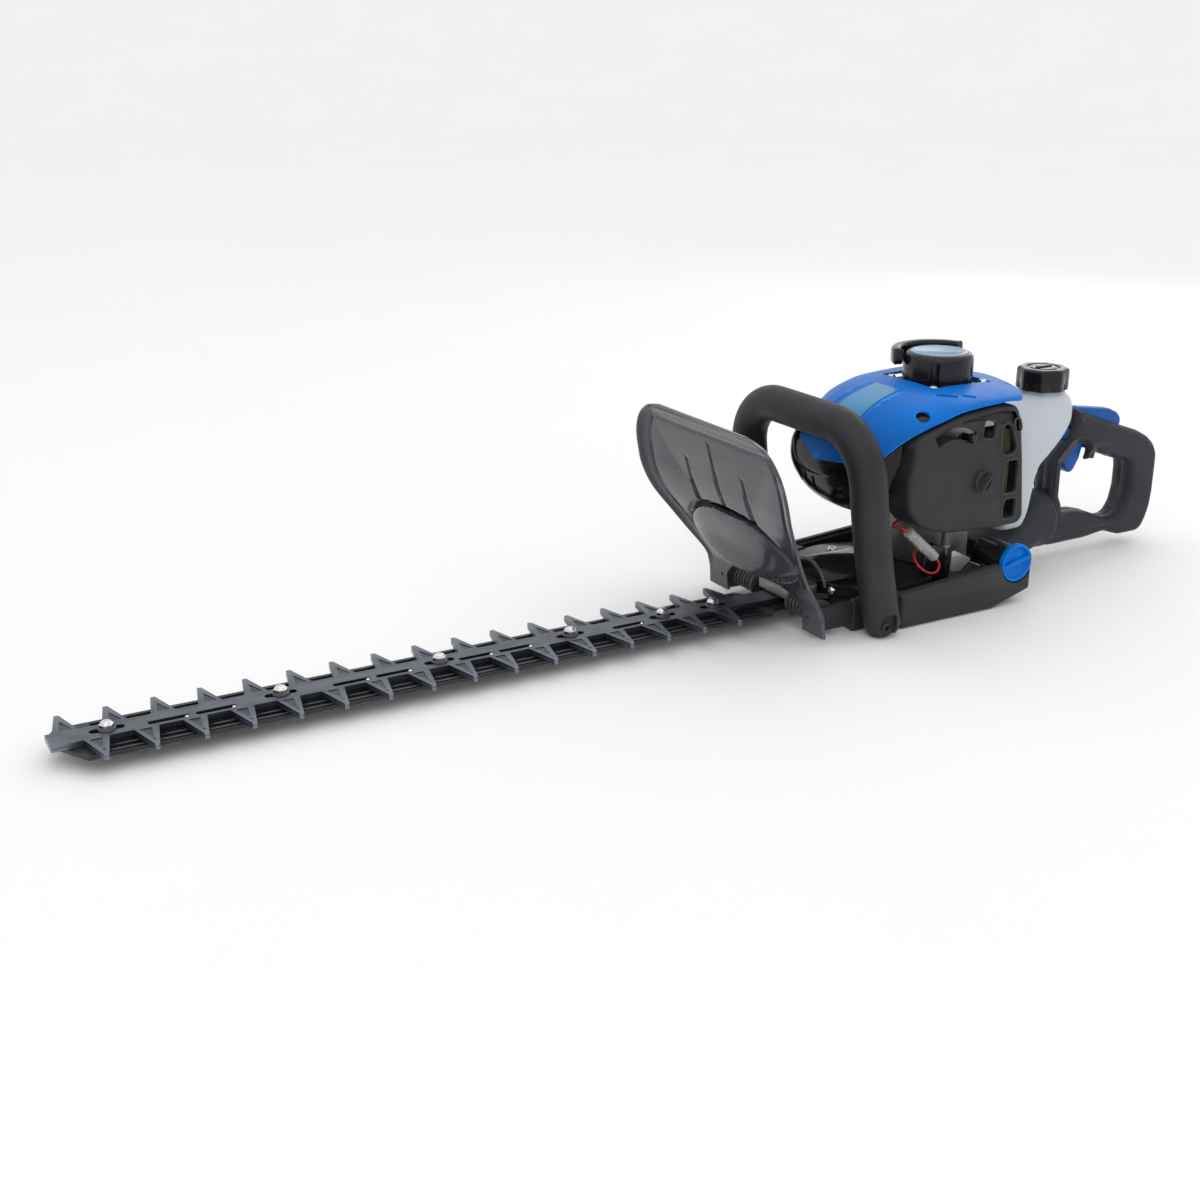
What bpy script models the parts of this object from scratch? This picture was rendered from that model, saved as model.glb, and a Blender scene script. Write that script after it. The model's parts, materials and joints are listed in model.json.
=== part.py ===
"""Petrol hedge trimmer with a double-sided cutter, as an assembly of separate pieces.

Design frame, in millimetres: +X runs from the blade tip to the rear handle, +Y is the right-hand side,
z = 0 is the top of the upper blade and x = 0 is the first tooth. One empty moves everything so that the
world origin is at the middle of the box's underside, where the machine stands on its base.
"""
import math

import bpy
import bmesh
from mathutils import Vector

MM = 0.001

# Cutter
PITCH = 35.0
RIGHT_TEETH = 17
LEFT_TEETH = 16
REACH = 41.0
SPINE = 11.0
TOOTH_ROOT = 9.0
TOOTH_TIP = 1.7
BLADE_END = -14.0
UPPER_BLADE = (-2.4, 0.0)
LOWER_BLADE = (-5.0, -2.7)
GUIDE_BAR = (-8.4, -5.3)
STROKE = 8.75
BOLTS_X = (27.0, 155.5, 285.0, 402.0, 491.0, 542.0)
SHANK = 3.0

# Drive and engine
CRANK_X = 776.0
GEAR_X = 704.0
MODULE = 2.4
GEAR_TEETH = 48
PINION_TEETH = 12
ECCENTRIC = 10.0
CYLINDER_Z = 100.0
BORE = 17.0
CRANK_THROW = 14.0
ROD_LENGTH = 50.0

# Frame, handles and covers
FLOOR = -20.0
BASE_FRONT = 640.0
BASE_REAR = 828.0
BASE_SIDE = 86.0
NARROW_SIDE = 69.0
NARROW_END = 684.0
HANDLE_SIDE = 86.0
HANDLE_TOP = 159.0
HANDLE_TUBE = 15.8
HANDLE_CORNER = 46.0
SWIVEL_Z = 24.0
SWIVEL_X = 915.0
HUB = 28.5
GRIP_HALF = 14.0
COVER_FACE = -80.0
PLUG_X = 810.0
PLUG_Z = 19.0
TANK_NECK_X = 905.0
STARTER = 31.0

# The box's middle lies halfway between the blade's end and the rear handle.
FRAME_SHIFT = (-(BLADE_END + 1060.0) / 2, 0.0, -FLOOR)

# Cowl and shroud stations: x, half width, crown height, parting height, lowest height
COWL = (
    (646, 34, 137, 122, 104), (650, 44, 146, 117, 92), (658, 51, 154.5, 117, 80),
    (670, 58, 162.5, 126, 72), (685, 66, 168, 140, 66), (700, 73, 171.5, 150, 62),
    (720, 78, 174.5, 158, 60), (740, 80, 176, 164, 60), (780, 82, 176, 168, 60),
    (797, 81, 175, 167, 60), (808, 75, 174.2, 165.5, 60), (818, 63, 173.4, 164, 60),
    (826, 47, 172.6, 163, 60), (832, 26, 172, 162, 60), (835, 10, 171.5, 162, 60),
)
SHROUD = (
    (646, 34, 137, 121.2, 104), (650, 44, 146, 116.2, 92), (658, 50, 154.5, 116.2, 80),
    (670, 53, 162.5, 125, 72), (681, 54, 167, 135.5, 66),
)

MATERIALS = {
    "blade_steel": ((0.065, 0.075, 0.095), 0.35, 0.9),
    "bar_steel": ((0.02, 0.02, 0.024), 0.4, 0.8),
    "zinc": ((0.72, 0.72, 0.70), 0.3, 1.0),
    "smoke_plastic": ((0.045, 0.04, 0.05), 0.18, 0.0),
    "dark_plastic": ((0.045, 0.045, 0.05), 0.55, 0.0),
    "blue_plastic": ((0.0, 0.16, 0.70), 0.35, 0.0),
    "gloss_black": ((0.012, 0.012, 0.014), 0.15, 0.0),
    "cast_metal": ((0.35, 0.35, 0.34), 0.5, 1.0),
    "machined_steel": ((0.45, 0.45, 0.46), 0.3, 1.0),
    "spring_steel": ((0.02, 0.02, 0.02), 0.4, 0.6),
    "tank_plastic": ((0.62, 0.65, 0.68), 0.4, 0.0),
    "ceramic": ((0.85, 0.85, 0.82), 0.3, 0.0),
    "filter_foam": ((0.45, 0.50, 0.10), 0.9, 0.0),
    "red_wire": ((0.60, 0.01, 0.02), 0.4, 0.0),
    "clear_plastic": ((0.75, 0.75, 0.72), 0.3, 0.0),
    "badge_blue": ((0.25, 0.42, 0.60), 0.4, 0.0),
}


def clear_scene():
    for old in list(bpy.data.objects):
        bpy.data.objects.remove(old, do_unlink=True)


def make_frame():
    frame = bpy.data.objects.new("trimmer_frame", None)
    frame.location = Vector(FRAME_SHIFT) * MM
    bpy.context.scene.collection.objects.link(frame)
    return frame


def material(name):
    found = bpy.data.materials.get(name)
    if found:
        return found
    colour, roughness, metallic = MATERIALS[name]
    made = bpy.data.materials.new(name)
    made.use_nodes = True
    shader = made.node_tree.nodes["Principled BSDF"]
    shader.inputs["Base Color"].default_value = (*colour, 1.0)
    shader.inputs["Roughness"].default_value = roughness
    shader.inputs["Metallic"].default_value = metallic
    return made


# ---------------------------------------------------------------- outlines

def arc(cx, cy, radius, start, end, steps):
    """Points of a circular arc, angles in degrees, both ends included."""
    points = []
    for i in range(steps + 1):
        angle = math.radians(start + (end - start) * i / steps)
        points.append((cx + radius * math.cos(angle), cy + radius * math.sin(angle)))
    return points


def circle(cx, cy, radius, steps=16):
    return arc(cx, cy, radius, 0, 360, steps)[:-1]


def rectangle(x0, x1, y0, y1):
    return [(x0, y0), (x1, y0), (x1, y1), (x0, y1)]


def slot(cx, cy, half_length, radius, steps=4):
    """Outline of a slot along the first axis; half_length runs to the centre of its end."""
    right = arc(cx + half_length, cy, radius, -90, 90, steps)
    left = arc(cx - half_length, cy, radius, 90, 270, steps)
    return right + left


def rounded(x0, x1, y0, y1, radius, steps=3):
    corners = ((x1 - radius, y0 + radius, -90), (x1 - radius, y1 - radius, 0),
               (x0 + radius, y1 - radius, 90), (x0 + radius, y0 + radius, 180))
    outline = []
    for cx, cy, start in corners:
        outline += arc(cx, cy, radius, start, start + 90, steps)
    return outline


def ellipse_arc(half_width, base, height, steps, power=2.6):
    """Points (y, z) of a flattened arch from +half_width over its crown to -half_width."""
    points = []
    for i in range(steps + 1):
        angle = math.pi * i / steps
        c = math.cos(angle)
        s = math.sin(angle)
        y = half_width * math.copysign(abs(c) ** (2 / power), c)
        points.append((y, base + height * abs(s) ** (2 / power)))
    return points


# ---------------------------------------------------------------- solids

class Solid:
    """Points in design millimetres and the faces between them."""

    def __init__(self, points, faces):
        self.points = points
        self.faces = faces


def lay(axis, a, b, h):
    """A point from outline coordinates a, b and height h along the axis."""
    if axis == "X":
        return (h, a, b)
    if axis == "Y":
        return (a, h, b)
    return (a, b, h)


def loft(rings):
    """A closed body through rings of equal point count, capped at both ends."""
    count = len(rings[0])
    points = [p for ring in rings for p in ring]
    faces = [tuple(range(count)), tuple(range(len(points) - count, len(points)))]
    for r in range(len(rings) - 1):
        for i in range(count):
            j = (i + 1) % count
            low = r * count
            faces.append((low + i, low + j, low + count + j, low + count + i))
    return Solid(points, faces)


def prism(axis, outline, low, high):
    return loft([[lay(axis, a, b, h) for a, b in outline] for h in (low, high)])


def turned(axis, centre, profile, steps=20):
    """A body turned about an axis through centre; profile holds (radius, height) from end to end."""
    rings = []
    for radius, height in profile:
        rings.append([lay(axis, a, b, height) for a, b in circle(centre[0], centre[1], radius, steps)])
    return loft(rings)


def turned_ring(axis, centre, profile, steps=20):
    """A turned body with a bore: the profile is a closed loop of (radius, height)."""
    points = []
    faces = []
    count = len(profile)
    for i in range(steps):
        angle = 2 * math.pi * i / steps
        for radius, height in profile:
            a = centre[0] + radius * math.cos(angle)
            b = centre[1] + radius * math.sin(angle)
            points.append(lay(axis, a, b, height))
    for i in range(steps):
        here = i * count
        after = ((i + 1) % steps) * count
        for k in range(count):
            m = (k + 1) % count
            faces.append((here + k, here + m, after + m, after + k))
    return Solid(points, faces)


def tube(path, radius, sides=10):
    """A round bar along a path of 3D points."""
    path = [Vector(p) for p in path]
    rings = []
    side = None
    for i, here in enumerate(path):
        before = path[max(i - 1, 0)]
        after = path[min(i + 1, len(path) - 1)]
        along = (after - before).normalized()
        if side is None:
            side = along.orthogonal().normalized()
        side = (side - along * side.dot(along)).normalized()
        up = along.cross(side)
        ring = []
        for k in range(sides):
            angle = 2 * math.pi * k / sides
            ring.append(tuple(here + side * radius * math.cos(angle) + up * radius * math.sin(angle)))
        rings.append(ring)
    return loft(rings)


def smooth_path(points, per_span=4):
    """Points of a Catmull-Rom curve through the given points."""
    route = [Vector(p) for p in points]
    route = [route[0] * 2 - route[1]] + route + [route[-1] * 2 - route[-2]]
    out = []
    for a, b, c, d in zip(route, route[1:], route[2:], route[3:]):
        for i in range(per_span):
            t = i / per_span
            out.append(0.5 * (2 * b + (c - a) * t + (2 * a - 5 * b + 4 * c - d) * t ** 2
                              + (3 * b - a - 3 * c + d) * t ** 3))
    out.append(route[-2])
    return out


# ---------------------------------------------------------------- objects

def place(name, solid, pivot):
    bm = bmesh.new()
    verts = [bm.verts.new((Vector(p) - Vector(pivot)) * MM) for p in solid.points]
    for face in solid.faces:
        bm.faces.new([verts[i] for i in face])
    bmesh.ops.recalc_face_normals(bm, faces=bm.faces[:])
    mesh = bpy.data.meshes.new(name)
    bm.to_mesh(mesh)
    bm.free()
    placed = bpy.data.objects.new(name, mesh)
    placed.parent = FRAME
    placed.location = Vector(pivot) * MM
    bpy.context.scene.collection.objects.link(placed)
    return placed


def node(name, solid, look, pivot=(0, 0, 0), smooth=False):
    piece = place(name, solid, pivot)
    piece.data.materials.append(material(look))
    if smooth:
        piece.data.shade_smooth()
        piece.data.set_sharp_from_angle(angle=math.radians(35))
    return piece


def combine(piece, solid, operation):
    count = sum(1 for m in piece.modifiers)
    tool = place(f"{piece.name}_tool_{count + 1}", solid, piece.location / MM)
    tool.hide_render = True
    tool.display_type = "WIRE"
    change = piece.modifiers.new(f"{operation.lower()}_{count + 1}", "BOOLEAN")
    change.operation = operation
    change.object = tool


def cut(piece, *solids):
    for solid in solids:
        combine(piece, solid, "DIFFERENCE")


def join(piece, *solids):
    for solid in solids:
        combine(piece, solid, "UNION")


# ---------------------------------------------------------------- cutter

def blade_outline():
    outline = [(BLADE_END, -SPINE), (BLADE_END, SPINE)]
    for i in range(RIGHT_TEETH):
        x = i * PITCH
        outline += [(x - TOOTH_ROOT, SPINE), (x - TOOTH_TIP, REACH)]
        outline += [(x + TOOTH_TIP, REACH), (x + TOOTH_ROOT, SPINE)]
    tail = [(626, SPINE), (650, 26), (740, 26), (740, -26), (650, -26), (626, -SPINE)]
    outline += tail
    for i in reversed(range(LEFT_TEETH)):
        x = (i + 0.5) * PITCH
        outline += [(x + TOOTH_ROOT, -SPINE), (x + TOOTH_TIP, -REACH)]
        outline += [(x - TOOTH_TIP, -REACH), (x - TOOTH_ROOT, -SPINE)]
    return outline


def make_blades():
    for name, (low, high) in (("upper_blade", UPPER_BLADE), ("lower_blade", LOWER_BLADE)):
        blade = node(name, prism("Z", blade_outline(), low, high), "blade_steel")
        for x in BOLTS_X:
            cut(blade, prism("Z", slot(x, 0, STROKE + 0.3, SHANK + 0.6), low - 1, high + 1))
        reach = ECCENTRIC + STROKE
        window = rounded(GEAR_X - reach - STROKE - 0.5, GEAR_X + reach + STROKE + 0.5,
                         -reach - 0.6, reach + 0.6, 8)
        cut(blade, prism("Z", window, low - 1, high + 1))


def make_guide_bar():
    outline = [(7, -29), (585, -29), (592, -20), (668, -20), (668, 20), (592, 20), (585, 31),
               (-4, 31), (-12, 18), (-12, 5)]
    bar = node("blade_guide_bar", prism("Z", outline, *GUIDE_BAR), "bar_steel")
    for x in BOLTS_X:
        cut(bar, prism("Z", circle(x, 0, SHANK + 0.6, 12), GUIDE_BAR[0] - 1, GUIDE_BAR[1] + 1))


def hexagon(x, y, across):
    """Twelve points on a hexagon, so that it lofts to a round shank."""
    corners = circle(x, y, across / math.sqrt(3), 6)
    outline = []
    for here, after in zip(corners, corners[1:] + corners[:1]):
        outline += [here, ((here[0] + after[0]) / 2, (here[1] + after[1]) / 2)]
    return outline


def make_bar_bolts():
    for number, x in enumerate(BOLTS_X, 1):
        head = hexagon(x, 0, 9)
        shank = circle(x, 0, SHANK, 12)
        flange = circle(x, 0, 6.6, 12)
        nut = hexagon(x, 0, 9.5)
        tip = circle(x, 0, 2.6, 12)
        layers = ((head, -11.6), (head, -8.7), (shank, -8.7), (shank, 0.3), (flange, 0.3),
                  (flange, 1.4), (nut, 1.4), (nut, 5.4), (tip, 5.4), (tip, 7.0))
        rings = [[(a, b, z) for a, b in outline] for outline, z in layers]
        node(f"bar_bolt_{number}", loft(rings), "zinc")


# ---------------------------------------------------------------- guard and front handle

GUARD_ROWS = (
    (166, 525, 74), (163, 526, 90), (158, 527.5, 97.5), (150, 529, 103), (140, 530, 108),
    (120, 534, 112), (100, 539, 113), (80, 548, 109), (60, 561, 99), (40, 575, 90),
    (20, 590, 84), (8, 594, 85), (-13, 596, 86),
)


def make_guard():
    """A leaning shield with two tabs; the blades pass under the middle of its lower edge."""
    thickness = 3.2
    columns = 12
    rings = []
    for z, x, half in GUARD_ROWS:
        front = [(x, half * (2 * i / columns - 1), z) for i in range(columns + 1)]
        back = [(x + thickness, y, z) for _, y, _ in reversed(front)]
        rings.append(front + back)
    guard = node("front_guard", loft(rings), "smoke_plastic")
    gap = [(-57, -30), (57, -30), (57, 4), (48, 13), (30, 17), (-30, 17), (-48, 13), (-57, 4)]
    cut(guard, prism("X", gap, 560, 620))


def handle_x(z):
    lean = max(HANDLE_TOP - z, 0) / 175.0
    return 632.0 + 28.0 * lean ** 1.6


def make_front_handle():
    bend_z = HANDLE_TOP - HANDLE_CORNER
    bend_y = HANDLE_SIDE - HANDLE_CORNER
    half = [(-HANDLE_SIDE, z) for z in (-16, 5, 30, 58, 88)]
    half += arc(-bend_y, bend_z, HANDLE_CORNER, 180, 90, 6)
    route = half + [(-y, z) for y, z in reversed(half)]
    path = [(handle_x(z), y, z) for y, z in route]
    node("front_handle", tube(path, HANDLE_TUBE, 14), "dark_plastic", smooth=True)


# ---------------------------------------------------------------- base

def make_base():
    profile = [(BASE_FRONT, FLOOR), (785, FLOOR), (BASE_REAR, -8), (BASE_REAR, 15), (790, 20),
               (690, 13), (BASE_FRONT, 8)]
    base = node("base_frame", prism("Y", profile, -BASE_SIDE, BASE_SIDE), "dark_plastic")
    front = BASE_FRONT - 10
    for side in (-1, 1):
        outer = sorted((side * NARROW_SIDE, side * (BASE_SIDE + 10)))
        cut(base, prism("Z", rectangle(front, NARROW_END - 5, *outer), FLOOR - 5, 40))
    cavity = [(645, -65), (NARROW_END, -65), (NARROW_END, -82), (824, -82), (824, 82),
              (NARROW_END, 82), (NARROW_END, 65), (645, 65)]
    cut(base, prism("Z", cavity, FLOOR + 4, 40))
    cut(base, prism("X", rectangle(-64.5, 64.5, -14, 40), front, 650))
    for side in (-1, 1):
        rib = sorted((side * 55, side * 65))
        join(base, prism("Y", rectangle(794, 826, FLOOR + 2, 12), *rib))
        arm = sorted((side * 63, side * (NARROW_SIDE - 0.5)))
        join(base, prism("Y", rectangle(600, 652, -14, 7), *arm))
        seat = sorted((side * 40, side * 81))
        cut(base, prism("Y", circle(PLUG_X, PLUG_Z, 14.5, 20), *seat))
        mouth = sorted((side * 79.9, side * 95))
        cut(base, prism("Y", circle(PLUG_X, PLUG_Z, 18.4, 24), *mouth))


def make_rear_tubes():
    for name, side in (("left", -1), ("right", 1)):
        stub = sorted((side * 42, side * 79.6))
        node(f"rear_tube_{name}", prism("Y", circle(PLUG_X, PLUG_Z, 14, 20), *stub), "gloss_black")
        disc = sorted((side * 80.2, side * 86))
        plug = node(f"rear_plug_{name}", prism("Y", circle(PLUG_X, PLUG_Z, 17.4, 24), *disc),
                    "blue_plastic")
        dish = sorted((side * 82.5, side * 90))
        cut(plug, prism("Y", circle(PLUG_X, PLUG_Z, 14.4, 20), *dish))
        bar = sorted((side * 81, side * 85.6))
        join(plug, prism("Y", rectangle(PLUG_X - 15.4, PLUG_X + 15.4, PLUG_Z - 2.5, PLUG_Z + 2.5), *bar))


def make_springs():
    """Anti-vibration springs across the front of the gear case, drawn as ribbed barrels."""
    for name, side in (("left", -1), ("right", 1)):
        profile = [(12, 24.4), (12, 28)]
        ribs = 4
        for i in range(ribs):
            y = 28.8 + i * 7.6
            profile += [(8.5, y), (10.6, y + 2.0), (10.6, y + 5.0), (8.5, y + 7.0)]
        profile += [(12, 59), (12, 62.6)]
        solid = turned("Y", (611, 0), [(r, side * y) for r, y in profile], 12)
        node(f"av_spring_{name}", solid, "spring_steel", smooth=True)


def make_clamp_block():
    block = node("blade_clamp_block", prism("Z", rounded(603, 639, -22, 22, 5), 1.4, 9.5), "cast_metal")
    join(block, prism("Z", hexagon(620, 12, 10), 9, 14.5))


# ---------------------------------------------------------------- gear case and clutch

def case_outline(inset):
    large = arc(GEAR_X, 0, 65 - inset, 60, 300, 22)
    small = arc(CRANK_X, 0, 24 - inset, -60, 60, 8)
    return large + small


def make_gear_case():
    lower = node("gear_case_lower", prism("Z", case_outline(0), -13, 1.0), "gloss_black")
    cut(lower, prism("Z", case_outline(3.5), -9.5, 4))
    cut(lower, prism("X", rectangle(-27.5, 27.5, -9.0, 4), 630, 662))
    cut(lower, prism("Z", circle(GEAR_X, 0, 4.6, 12), -16, -8))
    cover = node("gear_case_cover", prism("Z", case_outline(0), 1.3, 11), "gloss_black")
    hump = arc(0, 0, 27, 18, 162, 12)
    join(cover, prism("X", hump, 643, 692))
    cut(cover, prism("Z", case_outline(3.5), -4, 8.5))
    hollow = arc(0, 0, 23.5, 14, 166, 10)
    cut(cover, prism("X", hollow, 660, 688.5))
    cut(cover, prism("Z", circle(CRANK_X, 0, 7, 12), 0, 20))


def gear_outline(cx, teeth, phase):
    root = MODULE * (teeth / 2 - 1.0)
    tip = MODULE * (teeth / 2 + 0.75)
    step = 2 * math.pi / teeth
    outline = []
    for i in range(teeth):
        middle = (i + phase) * step
        for radius, part in ((root, -0.27), (tip, -0.12), (tip, 0.12), (root, 0.27)):
            angle = middle + part * step
            outline.append((cx + radius * math.cos(angle), radius * math.sin(angle)))
    return outline


def make_drive_gear():
    """The gear carries two eccentric discs that push the blades opposite ways."""
    gear = node("drive_gear", prism("Z", gear_outline(GEAR_X, GEAR_TEETH, 0.5), 1.5, 7.5),
                "machined_steel", pivot=(GEAR_X, 0, 0))
    join(gear, prism("Z", circle(GEAR_X, STROKE, ECCENTRIC, 16), -2.5, 3))
    join(gear, prism("Z", circle(GEAR_X, -STROKE, ECCENTRIC, 16), -5.1, -2.2))
    join(gear, prism("Z", circle(GEAR_X, 0, 4, 12), -11, 2.5))


def make_clutch():
    pinion = prism("Z", gear_outline(CRANK_X, PINION_TEETH, 0.0), 1.2, 7.8)
    drum = node("clutch_drum", pinion, "machined_steel", pivot=(CRANK_X, 0, 0))
    profile = [(6, 7), (6, 30), (32, 30), (32, 50), (29, 50), (29, 33), (5.5, 33), (5.5, 31.8)]
    join(drum, turned("Z", (CRANK_X, 0), profile, 20))
    rotor = [(6.4, 35), (27.3, 35), (27.3, 47), (6.4, 47)]
    node("clutch_rotor", turned_ring("Z", (CRANK_X, 0), rotor), "cast_metal", pivot=(CRANK_X, 0, 0))
    bell = [(38, 11.4), (38, 62), (9, 62), (9, 57), (34.5, 57), (34.5, 11.4)]
    node("clutch_housing", turned_ring("Z", (CRANK_X, 0), bell, 24), "cast_metal", smooth=True)


# ---------------------------------------------------------------- engine

def make_crank():
    pivot = (CRANK_X, 0, 0)
    lower = [(6, 35), (6, 84), (24, 84), (24, 93)]
    node("crank_lower", turned("Z", (CRANK_X, 0), lower, 16), "machined_steel", pivot)
    upper = [(24, 107), (24, 116), (6, 116), (6, 161)]
    node("crank_upper", turned("Z", (CRANK_X, 0), upper, 16), "machined_steel", pivot)
    wheel = [(6.4, 138), (20, 138), (50, 141), (50, 150), (22, 152), (22, 159), (6.4, 159)]
    node("flywheel", turned_ring("Z", (CRANK_X, 0), wheel, 24), "cast_metal", pivot)


def make_piston():
    pin_x = CRANK_X - CRANK_THROW - ROD_LENGTH
    centre = (0, CYLINDER_Z)
    crown = pin_x - 14
    skirt = pin_x + 11
    piston = [(BORE - 0.4, crown), (BORE - 0.4, skirt), (13, skirt), (13, crown + 4)]
    node("piston", turned("X", centre, piston, 16), "machined_steel", pivot=(pin_x, 0, CYLINDER_Z))
    big_end_x = CRANK_X - CRANK_THROW
    rod = node("connecting_rod", prism("Z", rectangle(pin_x - 5, big_end_x - 7, -5, 5), 96, 104),
               "machined_steel", pivot=(pin_x, 0, CYLINDER_Z))
    join(rod, prism("Z", circle(big_end_x, 0, 9.5, 14), 95.5, 104.5))
    cut(rod, prism("Z", circle(big_end_x, 0, 5.5, 12), 90, 110))


def make_crankcase():
    profile = [(7, 62.4), (36, 62.4), (36, 128), (7, 128), (7, 122), (31, 122), (31, 69), (7, 69)]
    case = node("crankcase", turned_ring("Z", (CRANK_X, 0), profile, 24), "cast_metal")
    cut(case, prism("Z", rectangle(730, 746.3, -45, 45), 55, 135))
    cut(case, prism("X", circle(0, CYLINDER_Z, BORE + 0.4), 740, 765))


def make_cylinder():
    centre = (0, CYLINDER_Z)
    fins = 5
    outer = [(12, 683), (28, 683), (28, 687)]
    for i in range(fins):
        x = 687 + i * 10.5
        outer += [(22, x + 0.2), (22, x + 6.5), (28, x + 6.7), (28, x + 10)]
    outer += [(22, 740), (22, 746)]
    profile = outer + [(BORE, 746), (BORE, 692), (12, 692)]
    cylinder = node("cylinder", turned_ring("X", centre, profile, 16), "cast_metal", smooth=True)
    join(cylinder, prism("X", circle(0, CYLINDER_Z, 14, 12), 681, 691.5))
    plug = [(9, 653), (9, 660), (6, 661), (6, 672), (8, 672), (8, 680.6)]
    node("spark_plug", turned("X", centre, plug, 12), "ceramic", smooth=True)
    node("ignition_coil", prism("Z", rounded(704, 723, -12, 12, 3), 138, 156), "gloss_black")


def make_exhaust():
    node("muffler", prism("Y", rounded(706, 768, 66, 114, 8), 42, 73), "cast_metal")
    outline = [(700, 62), (795, 62), (800, 100), (794, 150), (745, 154), (704, 140), (697, 100)]
    inner = [(703.5, 65.5), (792, 65.5), (796.5, 100), (791, 146.5), (746, 150.5), (707, 137.5),
             (700.5, 100)]
    cover = node("muffler_cover", prism("Y", outline, 51, 80), "dark_plastic")
    cut(cover, prism("Y", inner, 30, 77))
    for i in range(5):
        z = 78 + i * 11
        cut(cover, prism("Y", slot(748, z, 30, 2.6, 3), 70, 90))


# ---------------------------------------------------------------- intake side

CHOKE_X = 731.0
CHOKE_Z = 110.0
COVER_OUTLINE = (
    (690, 140), (700, 147), (720, 155), (740, 161), (776, 165), (800, 163), (806, 150),
    (812, 112), (818, 60), (812, 54), (781, 54), (729, 57), (700, 66), (684, 84), (683, 110),
)


def shrink(outline, amount):
    """The outline moved inwards by the same amount on every side."""
    count = len(outline)
    area = sum(a[0] * b[1] - b[0] * a[1] for a, b in zip(outline, outline[1:] + outline[:1]))
    turn = 1 if area > 0 else -1
    moved = []
    for i in range(count):
        before = Vector(outline[i - 1])
        here = Vector(outline[i])
        after = Vector(outline[(i + 1) % count])
        into = (here - before).normalized()
        away = (after - here).normalized()
        normal = (Vector((-into.y, into.x)) + Vector((-away.y, away.x))).normalized() * turn
        reach = amount / max(abs(normal.dot(Vector((-into.y, into.x)))), 0.4)
        moved.append(tuple(here + normal * reach))
    return moved


def make_filter_cover():
    outline = list(COVER_OUTLINE)
    cover = node("filter_cover", prism("Y", outline, COVER_FACE, -46), "dark_plastic")
    cut(cover, prism("Y", shrink(outline, 3), COVER_FACE + 3, -30))
    windows = (rounded(760, 775, 137, 152, 3), rounded(785, 803, 121, 150, 4),
               rounded(793, 806, 85, 114, 3), rounded(795, 808, 63, 79, 3))
    for window in windows:
        cut(cover, prism("Y", window, COVER_FACE - 5, COVER_FACE + 6))
    band = arc(CHOKE_X, CHOKE_Z, 41, 55, 125, 8) + arc(CHOKE_X, CHOKE_Z, 31, 125, 55, 8)
    cut(cover, prism("Y", band, COVER_FACE - 5, COVER_FACE + 6))
    cut(cover, prism("Y", circle(765, 100, 4.6, 12), COVER_FACE - 5, COVER_FACE + 6))


def make_intake():
    carburettor = node("carburettor", prism("Y", rounded(742, 786, 82, 116, 5), -58, -39), "cast_metal")
    join(carburettor, prism("Y", circle(757, 72, 9, 12), -56, -44))
    join(carburettor, prism("Z", rectangle(748, 766, -55, -45), 70, 90))
    node("filter_element", prism("Y", rounded(771, 799, 70, 142, 5), -75, -60), "filter_foam")
    knob = node("filter_knob", prism("Y", circle(765, 100, 9.5, 20), -84.6, -80.4), "dark_plastic",
                pivot=(765, -82, 100))
    join(knob, prism("Y", [(758.2, 93), (759.6, 91.6), (771.8, 107), (770.4, 108.4)], -88, -84))
    join(knob, prism("Y", circle(765, 100, 4, 12), -81, -70))
    lever = node("choke_lever", prism("Y", [(727, 108), (735, 108), (750.5, 139), (745, 142.5)], -72, -69),
                 "gloss_black", pivot=(CHOKE_X, -70, CHOKE_Z))
    join(lever, prism("Y", circle(747.2, 140.6, 3.6, 12), -88, -71))


# ---------------------------------------------------------------- cowl, shroud and starter

def far_share(x):
    """The cowl reaches less far on its right side."""
    return 1 - 0.15 * min(max((x - 655) / 35, 0), 1)


def cowl_rings(stations, inset, drop, upper):
    rings = []
    for x, half, crown, part, low in stations:
        if upper:
            height = crown - part - inset + drop
            section = ellipse_arc(half - inset, part - drop, height, 14)
        else:
            height = part - low - inset + drop
            section = ellipse_arc(half - inset, part + drop, height, 14)
            section = [(y, 2 * (part + drop) - z) for y, z in section]
        rings.append([(x, y * far_share(x) if y > 0 else y, z) for y, z in section])
    return rings


def make_cowl():
    cowl = node("engine_cowl", loft(cowl_rings(COWL, 0, 0, True)), "blue_plastic", smooth=True)
    inside = list(COWL[1:-1])
    first = list(inside[0])
    first[0] = 649.2
    last = list(inside[-1])
    last[0] = 831.0
    cut(cowl, loft(cowl_rings([first] + inside[1:] + [last], 3.0, 6.0, True)))
    cut(cowl, prism("Z", rectangle(CRANK_X - 33, CRANK_X + 33, -33, 33), 150, 200))
    shroud = node("front_shroud", loft(cowl_rings(SHROUD, 0, 0, False)), "gloss_black", smooth=True)
    front = list(SHROUD[1])
    front[0] = 649.2
    rear = list(SHROUD[-1])
    rear[0] = 687.0
    cut(shroud, loft(cowl_rings([front] + list(SHROUD[2:]) + [rear], 3.0, 6.0, False)))


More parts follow.
